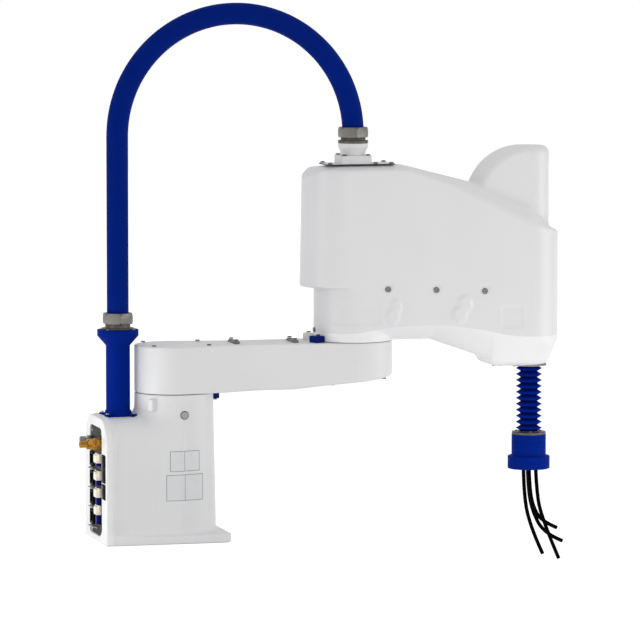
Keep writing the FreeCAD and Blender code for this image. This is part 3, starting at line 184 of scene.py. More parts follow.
class Finish:
    def __init__(self, name):
        self.material = bpy.data.materials.new(name)
        self.material.use_nodes = True
        self.tree = self.material.node_tree
        self.shader = self.tree.nodes["Principled BSDF"]
        self.place = self.add("ShaderNodeTexCoord")

    def add(self, kind, **settings):
        node = self.tree.nodes.new(kind)
        for key, value in settings.items():
            setattr(node, key, value)
        return node

    def join(self, out, into):
        self.tree.links.new(out, into)

    def noise(self, scale, detail=3.0, stretch=None):
        node = self.add("ShaderNodeTexNoise")
        node.inputs["Scale"].default_value = scale
        node.inputs["Detail"].default_value = detail
        spot = self.place.outputs["Object"]
        if stretch:
            turn = self.add("ShaderNodeMapping")
            turn.inputs["Scale"].default_value = stretch
            self.join(spot, turn.inputs["Vector"])
            spot = turn.outputs["Vector"]
        self.join(spot, node.inputs["Vector"])
        return node.outputs["Fac"]

    def ramp(self, value, stops):
        node = self.add("ShaderNodeValToRGB")
        bar = node.color_ramp
        bar.elements[0].position, bar.elements[0].color = stops[0]
        bar.elements[1].position, bar.elements[1].color = stops[-1]
        for spot, colour in stops[1:-1]:
            bar.elements.new(spot).color = colour
        self.join(value, node.inputs["Fac"])
        return node.outputs["Color"]

    # Painted shade: darker where the mesh's own attribute is low, as in the boot's pleat valleys
    def shaded(self, tint, attribute):
        height = self.add("ShaderNodeAttribute", attribute_name=attribute)
        depth = self.ramp(height.outputs["Fac"], [(0.0, (0.2, 0.2, 0.2, 1)), (0.5, (0.62, 0.62, 0.62, 1)),
                                                  (1.0, (1, 1, 1, 1))])
        mixed = self.add("ShaderNodeMix", data_type="RGBA", blend_type="MULTIPLY")
        mixed.inputs[0].default_value = 1.0
        self.join(tint, mixed.inputs[6])
        self.join(depth, mixed.inputs[7])
        return mixed.outputs[2]

    def span(self, value, low, high):
        node = self.add("ShaderNodeMapRange")
        node.inputs["From Min"].default_value = 0.3
        node.inputs["From Max"].default_value = 0.7
        node.inputs["To Min"].default_value = low
        node.inputs["To Max"].default_value = high
        self.join(value, node.inputs["Value"])
        return node.outputs["Result"]

    def bump(self, value, height):
        node = self.add("ShaderNodeBump")
        node.inputs["Strength"].default_value = 1.0
        node.inputs["Distance"].default_value = height
        self.join(value, node.inputs["Height"])
        self.join(node.outputs["Normal"], self.shader.inputs["Normal"])


def finish(name, colour, rough, metal=0.0, spread=0.05, cloud=9.0, grain=700.0, height=0.00003,
           stretch=None, specular=0.5, valley_shade_attribute=None):
    made = Finish(name)
    base = linear(colour)
    dark = [c * (1 - spread) for c in base[:3]] + [1.0]
    light = [min(1.0, c * (1 + spread)) for c in base[:3]] + [1.0]
    tint = made.ramp(made.noise(cloud, 4.0, stretch), [(0.3, dark), (0.5, base), (0.7, light)])
    if valley_shade_attribute:
        tint = made.shaded(tint, valley_shade_attribute)
    made.join(tint, made.shader.inputs["Base Color"])
    made.join(made.span(made.noise(cloud * 6, 4.0, stretch), rough * 0.86, rough * 1.14),
              made.shader.inputs["Roughness"])
    made.shader.inputs["Metallic"].default_value = metal
    made.shader.inputs["Specular IOR Level"].default_value = specular
    made.bump(made.noise(grain, 2.0, stretch), height)
    return made.material


# Fine grooves left by turning, round the upright axis and along X
TURNED = (1.0, 1.0, 14.0)
TURNED_X = (14.0, 1.0, 1.0)

casting_paint = finish("casting_paint", (228, 228, 229), 0.42, spread=0.012, height=0.00005, grain=900.0)
shell_plastic = finish("shell_plastic", (230, 230, 231), 0.34, spread=0.008, height=0.00002, grain=1400.0)
# White paint lifted above casting_paint: painted light on the belly, where the floor's bounce falls
belly_paint = finish("belly_paint", (243, 243, 244), 0.40, spread=0.010, height=0.00004, grain=900.0)
hose_blue = finish("hose_blue", (1, 32, 122), 0.5, spread=0.06, cloud=6.0, grain=500.0, specular=0.02)
riser_blue = finish("riser_blue", (1, 33, 128), 0.5, spread=0.06, cloud=8.0, grain=800.0, specular=0.02)
# Bellows blue with painted shade that darkens the pleat valleys
bellows_blue = finish("bellows_blue", (1, 42, 160), 0.6, spread=0.08, cloud=20.0, grain=900.0, height=0.00005,
                      specular=0.03, valley_shade_attribute="crest")
collar_blue = finish("collar_blue", (1, 34, 130), 0.5, spread=0.05, cloud=15.0, grain=1200.0, specular=0.02)
bumper_blue = finish("bumper_blue", (2, 26, 108), 0.6, spread=0.08, cloud=20.0, grain=900.0, height=0.00006,
                     specular=0.08)
panel_coat = finish("panel_coat", (58, 56, 57), 0.5, spread=0.05, grain=1100.0, height=0.00004, specular=0.05)
socket_black = finish("socket_black", (8, 8, 9), 0.6, spread=0.12, grain=900.0, specular=0.03)
plug_cream = finish("plug_cream", (240, 234, 214), 0.45, spread=0.04, cloud=25.0, grain=900.0)
plug_blue = finish("plug_blue", (16, 14, 96), 0.5, spread=0.08, cloud=25.0, grain=900.0, specular=0.1)
grey_moulding = finish("grey_moulding", (166, 166, 165), 0.5, spread=0.04, grain=900.0)
label_film = finish("label_film", (222, 223, 224), 0.5, spread=0.015, cloud=30.0, grain=1500.0,
                    height=0.00001)
label_line = finish("label_line", (112, 114, 116), 0.5, spread=0.03, cloud=30.0, grain=1500.0,
                    height=0.00001)
brass_turned = finish("brass_turned", (200, 148, 58), 0.30, 1.0, 0.08, 20.0, 1500.0, 0.00002, TURNED_X)
steel_turned = finish("steel_turned", (150, 149, 146), 0.34, 1.0, 0.08, 20.0, 1500.0, 0.00002, TURNED)
steel_nut = finish("steel_nut", (118, 115, 111), 0.42, 1.0, 0.07, 20.0, 1500.0, 0.00002, TURNED)
steel_groove = finish("steel_groove", (92, 90, 87), 0.42, 1.0, 0.07, 20.0, 1500.0, 0.00002, TURNED)
screw_grey = finish("screw_grey", (124, 123, 121), 0.42, 1.0, 0.08, 20.0, 1500.0, 0.00002)
steel_dark = finish("steel_dark", (52, 51, 50), 0.45, 0.6, 0.10, 20.0, 1500.0, 0.00002, specular=0.3)
alloy_milled = finish("alloy_milled", (205, 205, 203), 0.38, 1.0, 0.05, 15.0, 1200.0, 0.00002)
ring_grey = finish("ring_grey", (132, 132, 131), 0.40, 1.0, 0.05, 15.0, 1200.0, 0.00002)
# Dark grey: the side plug's rim, and painted shade on the duct plate's side faces
seal_grey = finish("seal_grey", (46, 46, 47), 0.55, spread=0.08, grain=900.0, specular=0.2)
motor_coat = finish("motor_coat", (58, 58, 60), 0.45, spread=0.08, grain=700.0, height=0.00006)
belt_black = finish("belt_black", (34, 34, 35), 0.7, spread=0.12, grain=900.0, height=0.00006)
cable_black = finish("cable_black", (2, 2, 3), 0.6, spread=0.15, cloud=40.0, grain=1500.0, height=0.00003,
                     specular=0.02)

NODE_FINISH = {
    "base_casting": casting_paint, "bottom_cover": panel_coat, "base_screws": steel_turned,
    "connector_panel": panel_coat, "panel_sockets": socket_black, "panel_plugs": plug_cream,
    "panel_clips": steel_turned, "air_fittings": brass_turned, "blank_plates": socket_black,
    "label_plates": label_film, "side_plug": grey_moulding, "riser_pipe": riser_blue,
    "riser_bolts": steel_dark, "riser_gland": steel_groove, "riser_nut": steel_nut,
    "duct_hose": hose_blue, "j1_motor": motor_coat, "j1_motor_screws": steel_dark,
    "j1_ring": steel_turned, "j1_rotor": steel_turned, "arm1_casting": casting_paint,
    "arm1_lid": casting_paint, "arm1_screws": steel_dark, "cable_bars": steel_nut,
    "stop_bumpers": bumper_blue, "reducer_screws": steel_dark, "j1_output": steel_turned,
    "j2_ring": steel_turned, "j2_output": steel_turned, "arm2_frame": belly_paint,
    "arm2_cover": shell_plastic, "cover_screws": screw_grey, "nose_ring": ring_grey,
    "nose_screws": steel_dark, "duct_plate": casting_paint, "duct_screws": steel_dark,
    "duct_block": casting_paint, "duct_cup": shell_plastic, "duct_gland": steel_groove,
    "duct_nut": steel_nut, "j2_motor": motor_coat, "hub_screws": screw_grey,
    "j2_rotor": steel_turned, "lift_motor": motor_coat, "turn_motor": motor_coat,
    "lift_pulley": alloy_milled, "turn_pulley": alloy_milled, "turn_nut": steel_turned,
    "lift_nut": steel_turned, "nut_housing": alloy_milled, "belts": belt_black,
    "boot": bellows_blue, "carriage_ring": steel_groove, "carriage_screws": steel_turned,
    "spline_shaft": steel_turned, "tool_collar": collar_blue, "tool_cable_1": cable_black,
    "tool_cable_2": cable_black, "tool_cable_3": cable_black, "tool_cable_4": cable_black,
}


def dress(piece, material):
    piece.data.materials.clear()
    piece.data.materials.append(material)


for name, node in nodes.items():
    for slot in node.material_slots:
        slot.link = "OBJECT"
        slot.material = NODE_FINISH[name]


# Cables that hang from the tool collar
CABLE_R = 0.0047
CABLE_STARTS = [(-19.5, -20.0), (16.0, -6.0), (5.0, 14.0), (5.0, 26.0)]
CABLE_BENDS = [[(-18.5, -64), (-1, -144), (31, -212)],
               [(18.5, -54), (32, -124), (77, -227)],
               [(6.5, -44), (15, -96), (38, -136), (78, -153)],
               [(6.5, -49), (17, -109), (48, -168), (96, -188)]]
COLLAR_LOW = 144.0


def hang_cable(number, start, bends):
    dx, y = start
    points = [(AXIS_3 + dx, y, COLLAR_LOW + 13)] + [(AXIS_3 + x, y, COLLAR_LOW + z) for x, z in bends]
    name = "cable_%d" % number
    curve = bpy.data.curves.new(name, "CURVE")
    curve.dimensions = "3D"
    line = curve.splines.new("NURBS")
    line.points.add(len(points) - 1)
    for spot, (px, py, pz) in zip(line.points, points):
        spot.co = (px * MM, py * MM, pz * MM, 1.0)
    line.order_u = 3
    line.use_endpoint_u = True
    line.resolution_u = 16
    curve.bevel_depth = CABLE_R
    curve.bevel_resolution = 6
    curve.use_fill_caps = True
    cable = place(name, curve)
    dress(cable, cable_black)
    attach(cable, "tool")
    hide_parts("tool_cable_%d" % number)


for k in range(4):
    hang_cable(k + 1, CABLE_STARTS[k], CABLE_BENDS[k])


# Floor, world and lamps
TABLE_EDGE = 0.56
FLOOR_LIFT = 0.55
SKY = 0.72


# Table up to an edge beside the hanging cables, then a lower floor
def lay_floor():
    far, edge, drop = 30.0, TABLE_EDGE, -0.9
    points = [(-far, -far, 0), (edge, -far, 0), (edge, far, 0), (-far, far, 0),
              (edge, -far, drop), (edge, far, drop), (far, -far, drop), (far, far, drop)]
    floor = place("floor", mesh_from("floor", points, [(0, 1, 2, 3), (1, 4, 5, 2), (4, 6, 7, 5)]))
    made = Finish("floor_white")
    made.shader.inputs["Roughness"].default_value = 0.9
    made.shader.inputs["Specular IOR Level"].default_value = 0.0
    tint = made.ramp(made.noise(1.5), [(0.3, (0.77, 0.77, 0.77, 1)), (0.7, (0.79, 0.79, 0.79, 1))])
    made.join(tint, made.shader.inputs["Base Color"])
    path = made.add("ShaderNodeLightPath")
    seen = made.add("ShaderNodeMath", operation="MAXIMUM")
    made.join(path.outputs["Is Camera Ray"], seen.inputs[0])
    made.join(path.outputs["Is Glossy Ray"], seen.inputs[1])
    glow = made.add("ShaderNodeMath", operation="MULTIPLY")
    made.join(seen.outputs[0], glow.inputs[0])
    glow.inputs[1].default_value = FLOOR_LIFT
    made.shader.inputs["Emission Color"].default_value = (1, 1, 1, 1)
    made.join(glow.outputs[0], made.shader.inputs["Emission Strength"])
    dress(floor, made.material)


def paint_world():
    world = bpy.data.worlds.new("studio")
    world.use_nodes = True
    bpy.context.scene.world = world
    tree = world.node_tree
    back = tree.nodes["Background"]
    back.inputs["Color"].default_value = (1, 1, 1, 1)
    path = tree.nodes.new("ShaderNodeLightPath")
    seen = tree.nodes.new("ShaderNodeMath")
    seen.operation = "MAXIMUM"
    tree.links.new(path.outputs["Is Camera Ray"], seen.inputs[0])
    tree.links.new(path.outputs["Is Transmission Ray"], seen.inputs[1])
    span = tree.nodes.new("ShaderNodeMapRange")
    span.inputs["To Min"].default_value = SKY
    span.inputs["To Max"].default_value = 1.0
    tree.links.new(seen.outputs[0], span.inputs["Value"])
    tree.links.new(span.outputs["Result"], back.inputs["Strength"])


def hang_lamp(name, spot, target, size, power):
    lamp = bpy.data.lights.new(name, "AREA")
    lamp.shape = "RECTANGLE"
    lamp.size, lamp.size_y = size
    lamp.energy = power
    holder = place(name, lamp)
    holder.location = spot
    holder.rotation_euler = (Vector(target) - Vector(spot)).to_track_quat("-Z", "Y").to_euler()


lay_floor()
paint_world()
hang_lamp("front_lamp", (1.0, -2.0, 0.9), (0.7, 0, 0.6), (1.6, 0.8), 3.0)
hang_lamp("left_lamp", (-3.6, -1.6, 0.9), (0.0, 0, 0.5), (2.0, 2.0), 14.0)
hang_lamp("right_lamp", (4.2, -1.2, 0.6), (0.6, 0, 0.5), (2.0, 1.6), 22.0)
hang_lamp("rear_lamp", (-0.8, -0.2, 0.1), (-0.19, 0, 0.12), (0.4, 0.3), 2.3)
hang_lamp("belly_lamp", (1.2, -0.9, -0.35), (0.82, 0, 0.42), (0.6, 0.6), 2.6)
bpy.context.scene.view_settings.view_transform = "Standard"


# Rounded joins of signed distances: negative inside, r is the rounding
def round_max(a, b, r):
    return np.minimum(np.maximum(a, b), -r) + np.hypot(np.maximum(a + r, 0), np.maximum(b + r, 0))


def round_min(a, b, r):
    return -round_max(-a, -b, r)


def slab(v, low, high):
    return np.maximum(low - v, v - high)


def stadium(x, y, x0, x1, r):
    return np.hypot(x - np.clip(x, x0, x1), y) - r


def plate(u, v, half_u, half_v, corner):
    a = np.abs(u) - half_u + corner
    b = np.abs(v) - half_v + corner
    return np.hypot(np.maximum(a, 0), np.maximum(b, 0)) + np.minimum(np.maximum(a, b), 0) - corner


# A line through points, its corners eased over a width
def eased(line, x, width):
    xs = [p[0] for p in line]
    vs = [p[1] for p in line]
    spots = np.linspace(xs[0], xs[-1], 801)
    reach = max(1, int(width / (spots[1] - spots[0]) / 2))
    values = np.pad(np.interp(spots, xs, vs), reach, mode="reflect", reflect_type="odd")
    bell = np.hanning(2 * reach + 3)[1:-1]
    return np.interp(x, spots, np.convolve(values, bell / bell.sum(), mode="valid"))


# Closed skin on the zero of a field, in millimetres: one point per mixed cell, moved onto the surface
def skin(name, field, low, high, step):
    axes = [np.arange(a - step, b + 2 * step, step) for a, b in zip(low, high)]
    grid = np.meshgrid(*axes, indexing="ij")
    value = field(*grid)
    inside = value < 0
    cells = tuple(n - 1 for n in value.shape)
    total = np.zeros(cells + (3,))
    count = np.zeros(cells)
    crossings = []
    for axis in range(3):
        first = [slice(None)] * 3
        second = [slice(None)] * 3
        first[axis] = slice(0, -1)
        second[axis] = slice(1, None)
        first, second = tuple(first), tuple(second)
        mixed = inside[first] != inside[second]
        start, end = value[first], value[second]
        part = np.where(mixed, start / np.where(mixed, start - end, 1.0), 0.0)
        spot = [np.where(mixed, g[first], 0.0) for g in grid]
        spot[axis] = spot[axis] + part * step
        others = [a for a in range(3) if a != axis]
        for db in (0, 1):
            for dc in (0, 1):
                cut = [slice(None)] * 3
                cut[others[0]] = slice(db, db + cells[others[0]])
                cut[others[1]] = slice(dc, dc + cells[others[1]])
                cut = tuple(cut)
                count += mixed[cut]
                for k in range(3):
                    total[..., k] += spot[k][cut]
        crossings.append((axis, mixed, inside[first]))
    used = count > 0
    index = np.full(cells, -1)
    index[used] = np.arange(used.sum())
    points = total[used] / count[used][:, None]
    quads = []
    for axis, mixed, start_in in crossings:
        b, c = (axis + 1) % 3, (axis + 2) % 3
        at = np.argwhere(mixed)
        forward = start_in[tuple(at.T)]
        corners = []
        for db, dc in ((1, 1), (0, 1), (0, 0), (1, 0)):
            cell = at.copy()
            cell[:, b] -= db
            cell[:, c] -= dc
            corners.append(index[tuple(cell.T)])
        quad = np.stack(corners, 1)
        quad[~forward] = quad[~forward][:, ::-1]
        quads.append(quad)
    quads = np.concatenate(quads)
    ends = np.concatenate([quads[:, [0, 1]], quads[:, [1, 2]], quads[:, [2, 3]], quads[:, [3, 0]]])

    def settle(p, rounds):
        e = 0.02
        for _ in range(rounds):
            f = field(*p.T)
            slope = np.stack([field(*(p + e * np.eye(3)[k]).T) - field(*(p - e * np.eye(3)[k]).T)
                              for k in range(3)], 1)
            slope /= 2 * e
            move = f[:, None] * slope / np.maximum((slope ** 2).sum(1), 0.2)[:, None]
            p = p - np.clip(move, -step / 2, step / 2)
        return p

    points = settle(points, 3)
    near = np.bincount(ends[:, 0], minlength=len(points))[:, None]
    for _ in range(3):
        mean = np.stack([np.bincount(ends[:, 0], points[ends[:, 1], k], len(points))
                         for k in range(3)], 1) / near
        points = settle(points + 0.5 * (mean - points), 2)
    return place(name, mesh_from(name, points * MM, quads.tolist()))


# Cut with another closed shape
def carve(piece, other):
    tool = piece.modifiers.new("cut", "BOOLEAN")
    tool.operation = "DIFFERENCE"
    tool.solver = "MANIFOLD"
    tool.object = other
    baked(piece)
    bpy.data.objects.remove(other)


# Prism of an outline in one plane, along the remaining axis; millimetres
def prism(outline, axis, low, high):
    count = len(outline)
    points = []
    for level in (low, high):
        for u, v in outline:
            spot = {"x": (level, u, v), "y": (u, level, v), "z": (u, v, level)}[axis]
            points.append([c * MM for c in spot])
    faces = [list(range(count)), list(range(count, 2 * count))]
    faces += [[k, (k + 1) % count, count + (k + 1) % count, count + k] for k in range(count)]
    piece = place("cutter", mesh_from("cutter", points, faces))
    shape = bmesh.new()
    shape.from_mesh(piece.data)
    bmesh.ops.recalc_face_normals(shape, faces=shape.faces)
    bmesh.ops.triangulate(shape, faces=shape.faces)
    shape.to_mesh(piece.data)
    shape.free()
    return piece


def ring_outline(cu, cv, r, count=48):
    turns = [2 * math.pi * k / count for k in range(count)]
    return [(cu + r * math.cos(a), cv + r * math.sin(a)) for a in turns]


def plate_outline(u0, u1, v0, v1, corner):
    points, steps = [], 8
    for cu, cv, start in ((u1 - corner, v1 - corner, 0), (u0 + corner, v1 - corner, 90),
                          (u0 + corner, v0 + corner, 180), (u1 - corner, v0 + corner, 270)):
        for k in range(steps + 1):
            a = math.radians(start + 90 * k / steps)
            points.append((cu + corner * math.cos(a), cv + corner * math.sin(a)))
    return points


# Second arm: hood's circle in side view and the cover's screws
def circle_through(a, b, c):
    (x1, y1), (x2, y2), (x3, y3) = a, b, c
    d = 2 * (x1 * (y2 - y3) + x2 * (y3 - y1) + x3 * (y1 - y2))
    s1, s2, s3 = x1 * x1 + y1 * y1, x2 * x2 + y2 * y2, x3 * x3 + y3 * y3
    cx = (s1 * (y2 - y3) + s2 * (y3 - y1) + s3 * (y1 - y2)) / d
    cy = (s1 * (x3 - x2) + s2 * (x1 - x3) + s3 * (x2 - x1)) / d
    return cx, cy, math.hypot(x1 - cx, y1 - cy)


HOOD = circle_through((750, 838), (800, 914), (872, 943))
COVER_SCREWS = [(AXIS_2 + 63, 603.0), (AXIS_2 + 185, 599.0), (AXIS_3 - 142, 594.0)]


# Low and high places on the cover's sides, eased over a few millimetres
def eased_step(distance, width):
    return 0.5 - 0.5 * np.tanh(distance / width)


def oval(x, z, cx, cz, half_x, half_z, lean):
    u = (x - cx) * math.cos(lean) + (z - cz) * math.sin(lean)
    v = (z - cz) * math.cos(lean) - (x - cx) * math.sin(lean)
    return (np.hypot(u / half_x, v / half_z) - 1) * min(half_x, half_z)


def relief(x, z):
    low = 1.8 * eased_step(plate(x - 436, z - 542.5, 56, 25.5, 6), 1.2)
    low = low + 2.2 * eased_step(plate(x - 828, z - 528.5, 27, 27.5, 8), 1.2)
    first = np.minimum(oval(x, z, 534, 562, 12, 17, 0.25), oval(x, z, 526, 538, 15, 18, 0.1))
    second = np.minimum(oval(x, z, 708, 564, 16, 20, 0.3), oval(x, z, 694, 539, 18, 19, 0.2))
    high = 4.6 * eased_step(first, 3.0) + 6.0 * eased_step(second, 4.0)
    for sx, sz in COVER_SCREWS:
        low = low + 2.2 * np.exp(-((x - sx - 8.5) ** 2 + (z - sz - 8.5) ** 2) / 26.0)
    return high - low


# Second arm: cover
def shell_field(x, y, z):
    rear = 414.5 + 0.02 * np.clip(z - 606, 0, 300)
    upper = np.hypot(x - np.clip(x, rear, 872), y) - SHELL_R
    roof = eased(ROOF_LINE, x, 24)
    side = eased(SIDE_LINE, x, 24)
    inset = np.maximum(eased(ROOF_INSET, x, 24), 4.0)
    drop = (roof - side) / inset
    shoulder = (z - side - drop * -upper) / np.sqrt(1 + drop ** 2)
    flat = (z - roof) / np.sqrt(1 + 0.2 * (x > 580))
    top = round_max(flat, shoulder, 16)
    body = round_max(round_max(upper, top, 6), 606 - z, 6)
    skirt = round_max(stadium(x, y, AXIS_2, 872, SHELL_R), np.maximum(z - 640, 470 - z), 1)
    body = round_min(body, skirt, np.clip((AXIS_2 - x) / 12, 0.01, 4.0))
    body = body - relief(x, z) * (np.abs(y) > 40)
    curve = np.where(x < HOOD[0], np.hypot(x - HOOD[0], z - HOOD[1]) - HOOD[2], z - HOOD[1] - HOOD[2])
    front = np.hypot(np.maximum(x - 888.7, 0), y) - 58
    back = np.maximum(front, 745 - x)
    hood = round_max(round_max(curve, back, 18), 700 - z, 1)
    return round_min(body, hood, 8)


# Everything between the seam, shifted by a gap, and a level above or below it
def seam_prism(gap, level):
    first, last = LINE_ENDS
    line = [(x, eased(SEAM_LINE, x, 30) + gap) for x in np.linspace(first, last, 120)]
    return prism(line + [(last, level), (first, level)], "y", -140, 140)


def make_cover():
    box_low = (315, -100, 468)
    box_high = (972, 100, 946)
    cover = skin("cover_shell", shell_field, box_low, box_high, ARM_2_STEP)
    wall, coarse = 4.0, 8.0
    inner = skin("cover_room", lambda x, y, z: np.maximum(shell_field(x, y, z) + wall, 440 - z),
                 box_low, box_high, coarse)
    carve(cover, inner)
    carve(cover, seam_prism(0.15, 380))
    for x, z in COVER_SCREWS:
        for side in (-1, 1):
            for depth, r, count in ((1.2, 8.0, 48), (6.0, 3.2, 24)):
                y0, y1 = sorted((side * (SHELL_R - depth), side * (SHELL_R + 3)))
                carve(cover, prism(ring_outline(x, z, r, count), "y", y0, y1))
    carve(cover, prism(ring_outline(AXIS_2, 0, 23.3), "z", 880, 920))
    carve(cover, prism(ring_outline(0, 500, 2.7, 24), "x", 345, 362))
    smooth(cover)
    dress(cover, shell_plastic)
    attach(cover, "arm_2")
    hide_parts("arm2_cover")


# Steepness of the belly's line, one value per millimetre
BELLY_LEAN = np.clip(np.abs(np.gradient(eased(BELLY_LINE, np.linspace(*LINE_ENDS, 656), 14))), 0, 3)


def belly_field(x, y, z):
    plan = stadium(x, y, AXIS_2, 872, SHELL_R)
    low = eased(BELLY_LINE, x, 14)
    seam = eased(SEAM_LINE, x, 30)
    inset = np.maximum(eased(BELLY_INSET, x, 24), 6.0)
    drop = (seam - low) / inset
    slant = (seam - drop * (SHELL_R - np.abs(y)) - z) / np.sqrt(1 + drop ** 2)
    spot = np.clip(np.round(x - LINE_ENDS[0]).astype(int), 0, len(BELLY_LEAN) - 1)
    bottom = (low - z) / np.sqrt(1 + BELLY_LEAN[spot] ** 2)
    body = round_max(plan, round_max(bottom, slant, 12), 3)
    hub = round_max(np.hypot(x - AXIS_2, y) - SHELL_R, HUB_2 - z, 2)
    whole = round_min(body, hub, 1.0)
    return np.maximum(whole, z - 530)


def make_belly():
    low = (350, -100, 400)
    high = (972, 100, 536)
    belly = skin("belly_casting", belly_field, low, high, ARM_2_STEP)
    carve(belly, seam_prism(0.0, 600))
    for x, r in ((AXIS_3, 17.0), (AXIS_2, 40.0)):
        carve(belly, prism(ring_outline(x, 0, r), "z", 380, 600))
    smooth(belly)
    dress(belly, belly_paint)
    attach(belly, "arm_2")
    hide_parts("arm2_frame")


make_cover()
make_belly()


# Base
def base_field(x, y, z):
    foot = round_max(plate(x + 37.5, y, 156, 124, 25), slab(z, 0, 21), 3)
    rear = round_max(plate(y, z - 101, 124, 201, 70), slab(x, -193.5, -175), 3)
    rear = np.maximum(rear, -z)
    half = np.interp(x, [-185, -175, -5, 10], [119.5, 119.5, 97.5, 97.5])
    body = np.maximum(round_max(plate(y, z - 101, half, 201, 66), slab(x, -180, -5), 1), -z)
    column = round_max(np.hypot(x, y) - (102.4 - 6.9 * z / 357), slab(z, 0, 357), 2)
    whole = round_min(body, column, 22)
    whole = round_min(whole, foot, 12)
    whole = round_min(whole, rear, 9)
    for side in (-1, 1):
        a = math.radians(134.5 * side)
        u = x * math.cos(a) + y * math.sin(a)
        v = -x * math.sin(a) + y * math.cos(a)
        lug = round_max(plate(u - 94, v, 15, 6.6, 2), slab(z, 318, 347.5), 2)
        whole = round_min(whole, lug, 1.2)
    return np.maximum(whole, -z)


def make_base():
    low = (-196, -126, 0)
    high = (121, 126, 360)
    base = skin("base_casting_skin", base_field, low, high, BASE_STEP)
    carve(base, prism(plate_outline(-68.5, 68.5, 15.5, 278.5, 18), "x", -200, -187.5))
    carve(base, prism(plate_outline(-64, 64, 37, 257, 8), "x", -200, -60))
    carve(base, prism(ring_outline(0, 0, 85.5, 96), "z", 300, 370))
    carve(base, prism(ring_outline(0, 0, 60, 64), "z", 14, 310))
    carve(base, prism(plate_outline(-176, 101, -88, 88, 20), "z", -2, 5))
    for x in (-97, 97):
        for y in (-108, 108):
            carve(base, prism(ring_outline(x, y, 5.1, 32), "z", -1, 17))
    carve(base, prism(ring_outline(*SIDE_PLUG, 10.5, 40), "y", -130, -84))
    smooth(base)
    dress(base, casting_paint)
    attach(base, "base")
    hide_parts("base_casting")


# First arm
def waist_plan(x, y):
    r, half, middle = HUB_R, 68.0, AXIS_2 / 2
    rho = (middle ** 2 + half ** 2 - r ** 2) / (2 * (r - half))
    touch = middle * r / (r + rho)
    waist = np.maximum(rho - np.hypot(x - middle, np.abs(y) - half - rho), slab(x, touch, AXIS_2 - touch))
    discs = np.minimum(np.hypot(x, y), np.hypot(x - AXIS_2, y)) - r
    return np.minimum(discs, waist)


def arm_field(x, y, z):
    low = ARM_LOW + ARM_RISE * np.maximum(x - ARM_BEND, 0) - 2.4 * np.clip((200 - x) / 80, 0, 1)
    plan = waist_plan(x, y)
    return round_max(round_max(plan, low - z, np.interp(x, [90, ARM_BEND], [3, 8])), z - 472.5, 2)


def make_arm():
    low = (-98, -98, 356)
    high = (548, 98, 476)
    arm = skin("arm_casting", arm_field, low, high, ARM_1_STEP)
    rim = [(x, waist_half(x) - 8.0) for x in np.linspace(-87.5, 338, 90)]
    outline = [(x, -y) for x, y in rim] + [(x, y) for x, y in reversed(rim)]
    carve(arm, prism(outline, "z", 467.5, 480))
    carve(arm, prism(ring_outline(AXIS_2, 0, 84.5, 96), "z", 430, 480))
    for x in (AXIS_2 - 64.7, AXIS_2 + 64.7):
        for y in (-45.3, 45.3):
            depth = ARM_LOW + ARM_RISE * (x - ARM_BEND) + 5
            carve(arm, prism(ring_outline(x, y, 8, 32), "z", 340, depth))
    smooth(arm)
    dress(arm, casting_paint)
    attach(arm, "arm_1")
    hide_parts("arm1_casting")


def waist_half(x):
    ys = np.linspace(0, 100, 2001)
    inside = waist_plan(np.full_like(ys, x), ys) < 0
    return float(ys[inside].max()) if inside.any() else 0.0


make_base()
make_arm()


# Lower halves of the panel's plugs, row by row below the height where the two halves meet
def lower_plug(spot, normal):
    for row in range(PLUG_ROWS):
        below = PLUG_SPLIT - PLUG_PITCH * row - spot.z / MM
        if -0.05 < below < 25 and abs(spot.y / MM - PLUG_Y) < 14.8:
            return below > 0.7 or normal.z > -0.05
    return False


# Plugs pushed home, their blue halves slim
def settle_plugs(piece):
    mesh = piece.data
    slim = {v for face in mesh.polygons if face.material_index for v in face.vertices}
    front, middle = PANEL_FACE * MM, PLUG_Y * MM
    for vert in mesh.vertices:
        out = vert.co.x - front
        if out < 0:
            vert.co.x = front + out * (0.5 if vert.index in slim else 0.6)
        if vert.index in slim:
            vert.co.y = -0.024 + (vert.co.y - middle) * 0.55


# Copy of a node's mesh with its doubles merged, flat runs cleared and its edges broken
def softened(node, width):
    mesh = nodes[node].data.copy()
    shape = bmesh.new()
    shape.from_mesh(mesh)
    bmesh.ops.remove_doubles(shape, verts=shape.verts, dist=WELD)
    bmesh.ops.dissolve_limit(shape, angle_limit=math.radians(1.0), verts=shape.verts, edges=shape.edges)
    shape.to_mesh(mesh)
    shape.free()
    piece = place(node + "_trim", mesh)
    edge = piece.modifiers.new("edge", "BEVEL")
    edge.width = width
    edge.segments = 2
    edge.limit_method = "ANGLE"
    edge.angle_limit = math.radians(28.0)
    edge.use_clamp_overlap = True
    baked(piece)
    smooth(piece, 40)
    dress(piece, NODE_FINISH[node])
    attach(piece, nodes[node].parent.name.replace("body:", ""))
    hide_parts(node)
    return piece


# Second material on the faces that pass a test of their centre and normal
def retint(piece, material, test):
    piece.data.materials.append(material)
    for face in piece.data.polygons:
        if test(face.center, face.normal):
            face.material_index = 1


# Turn about the upright line through x, in millimetres and degrees
def spun(piece, x, angle):
    middle = Matrix.Translation((x * MM, 0, 0))
    piece.data.transform(middle @ Matrix.Rotation(math.radians(angle), 4, "Z") @ middle.inverted())


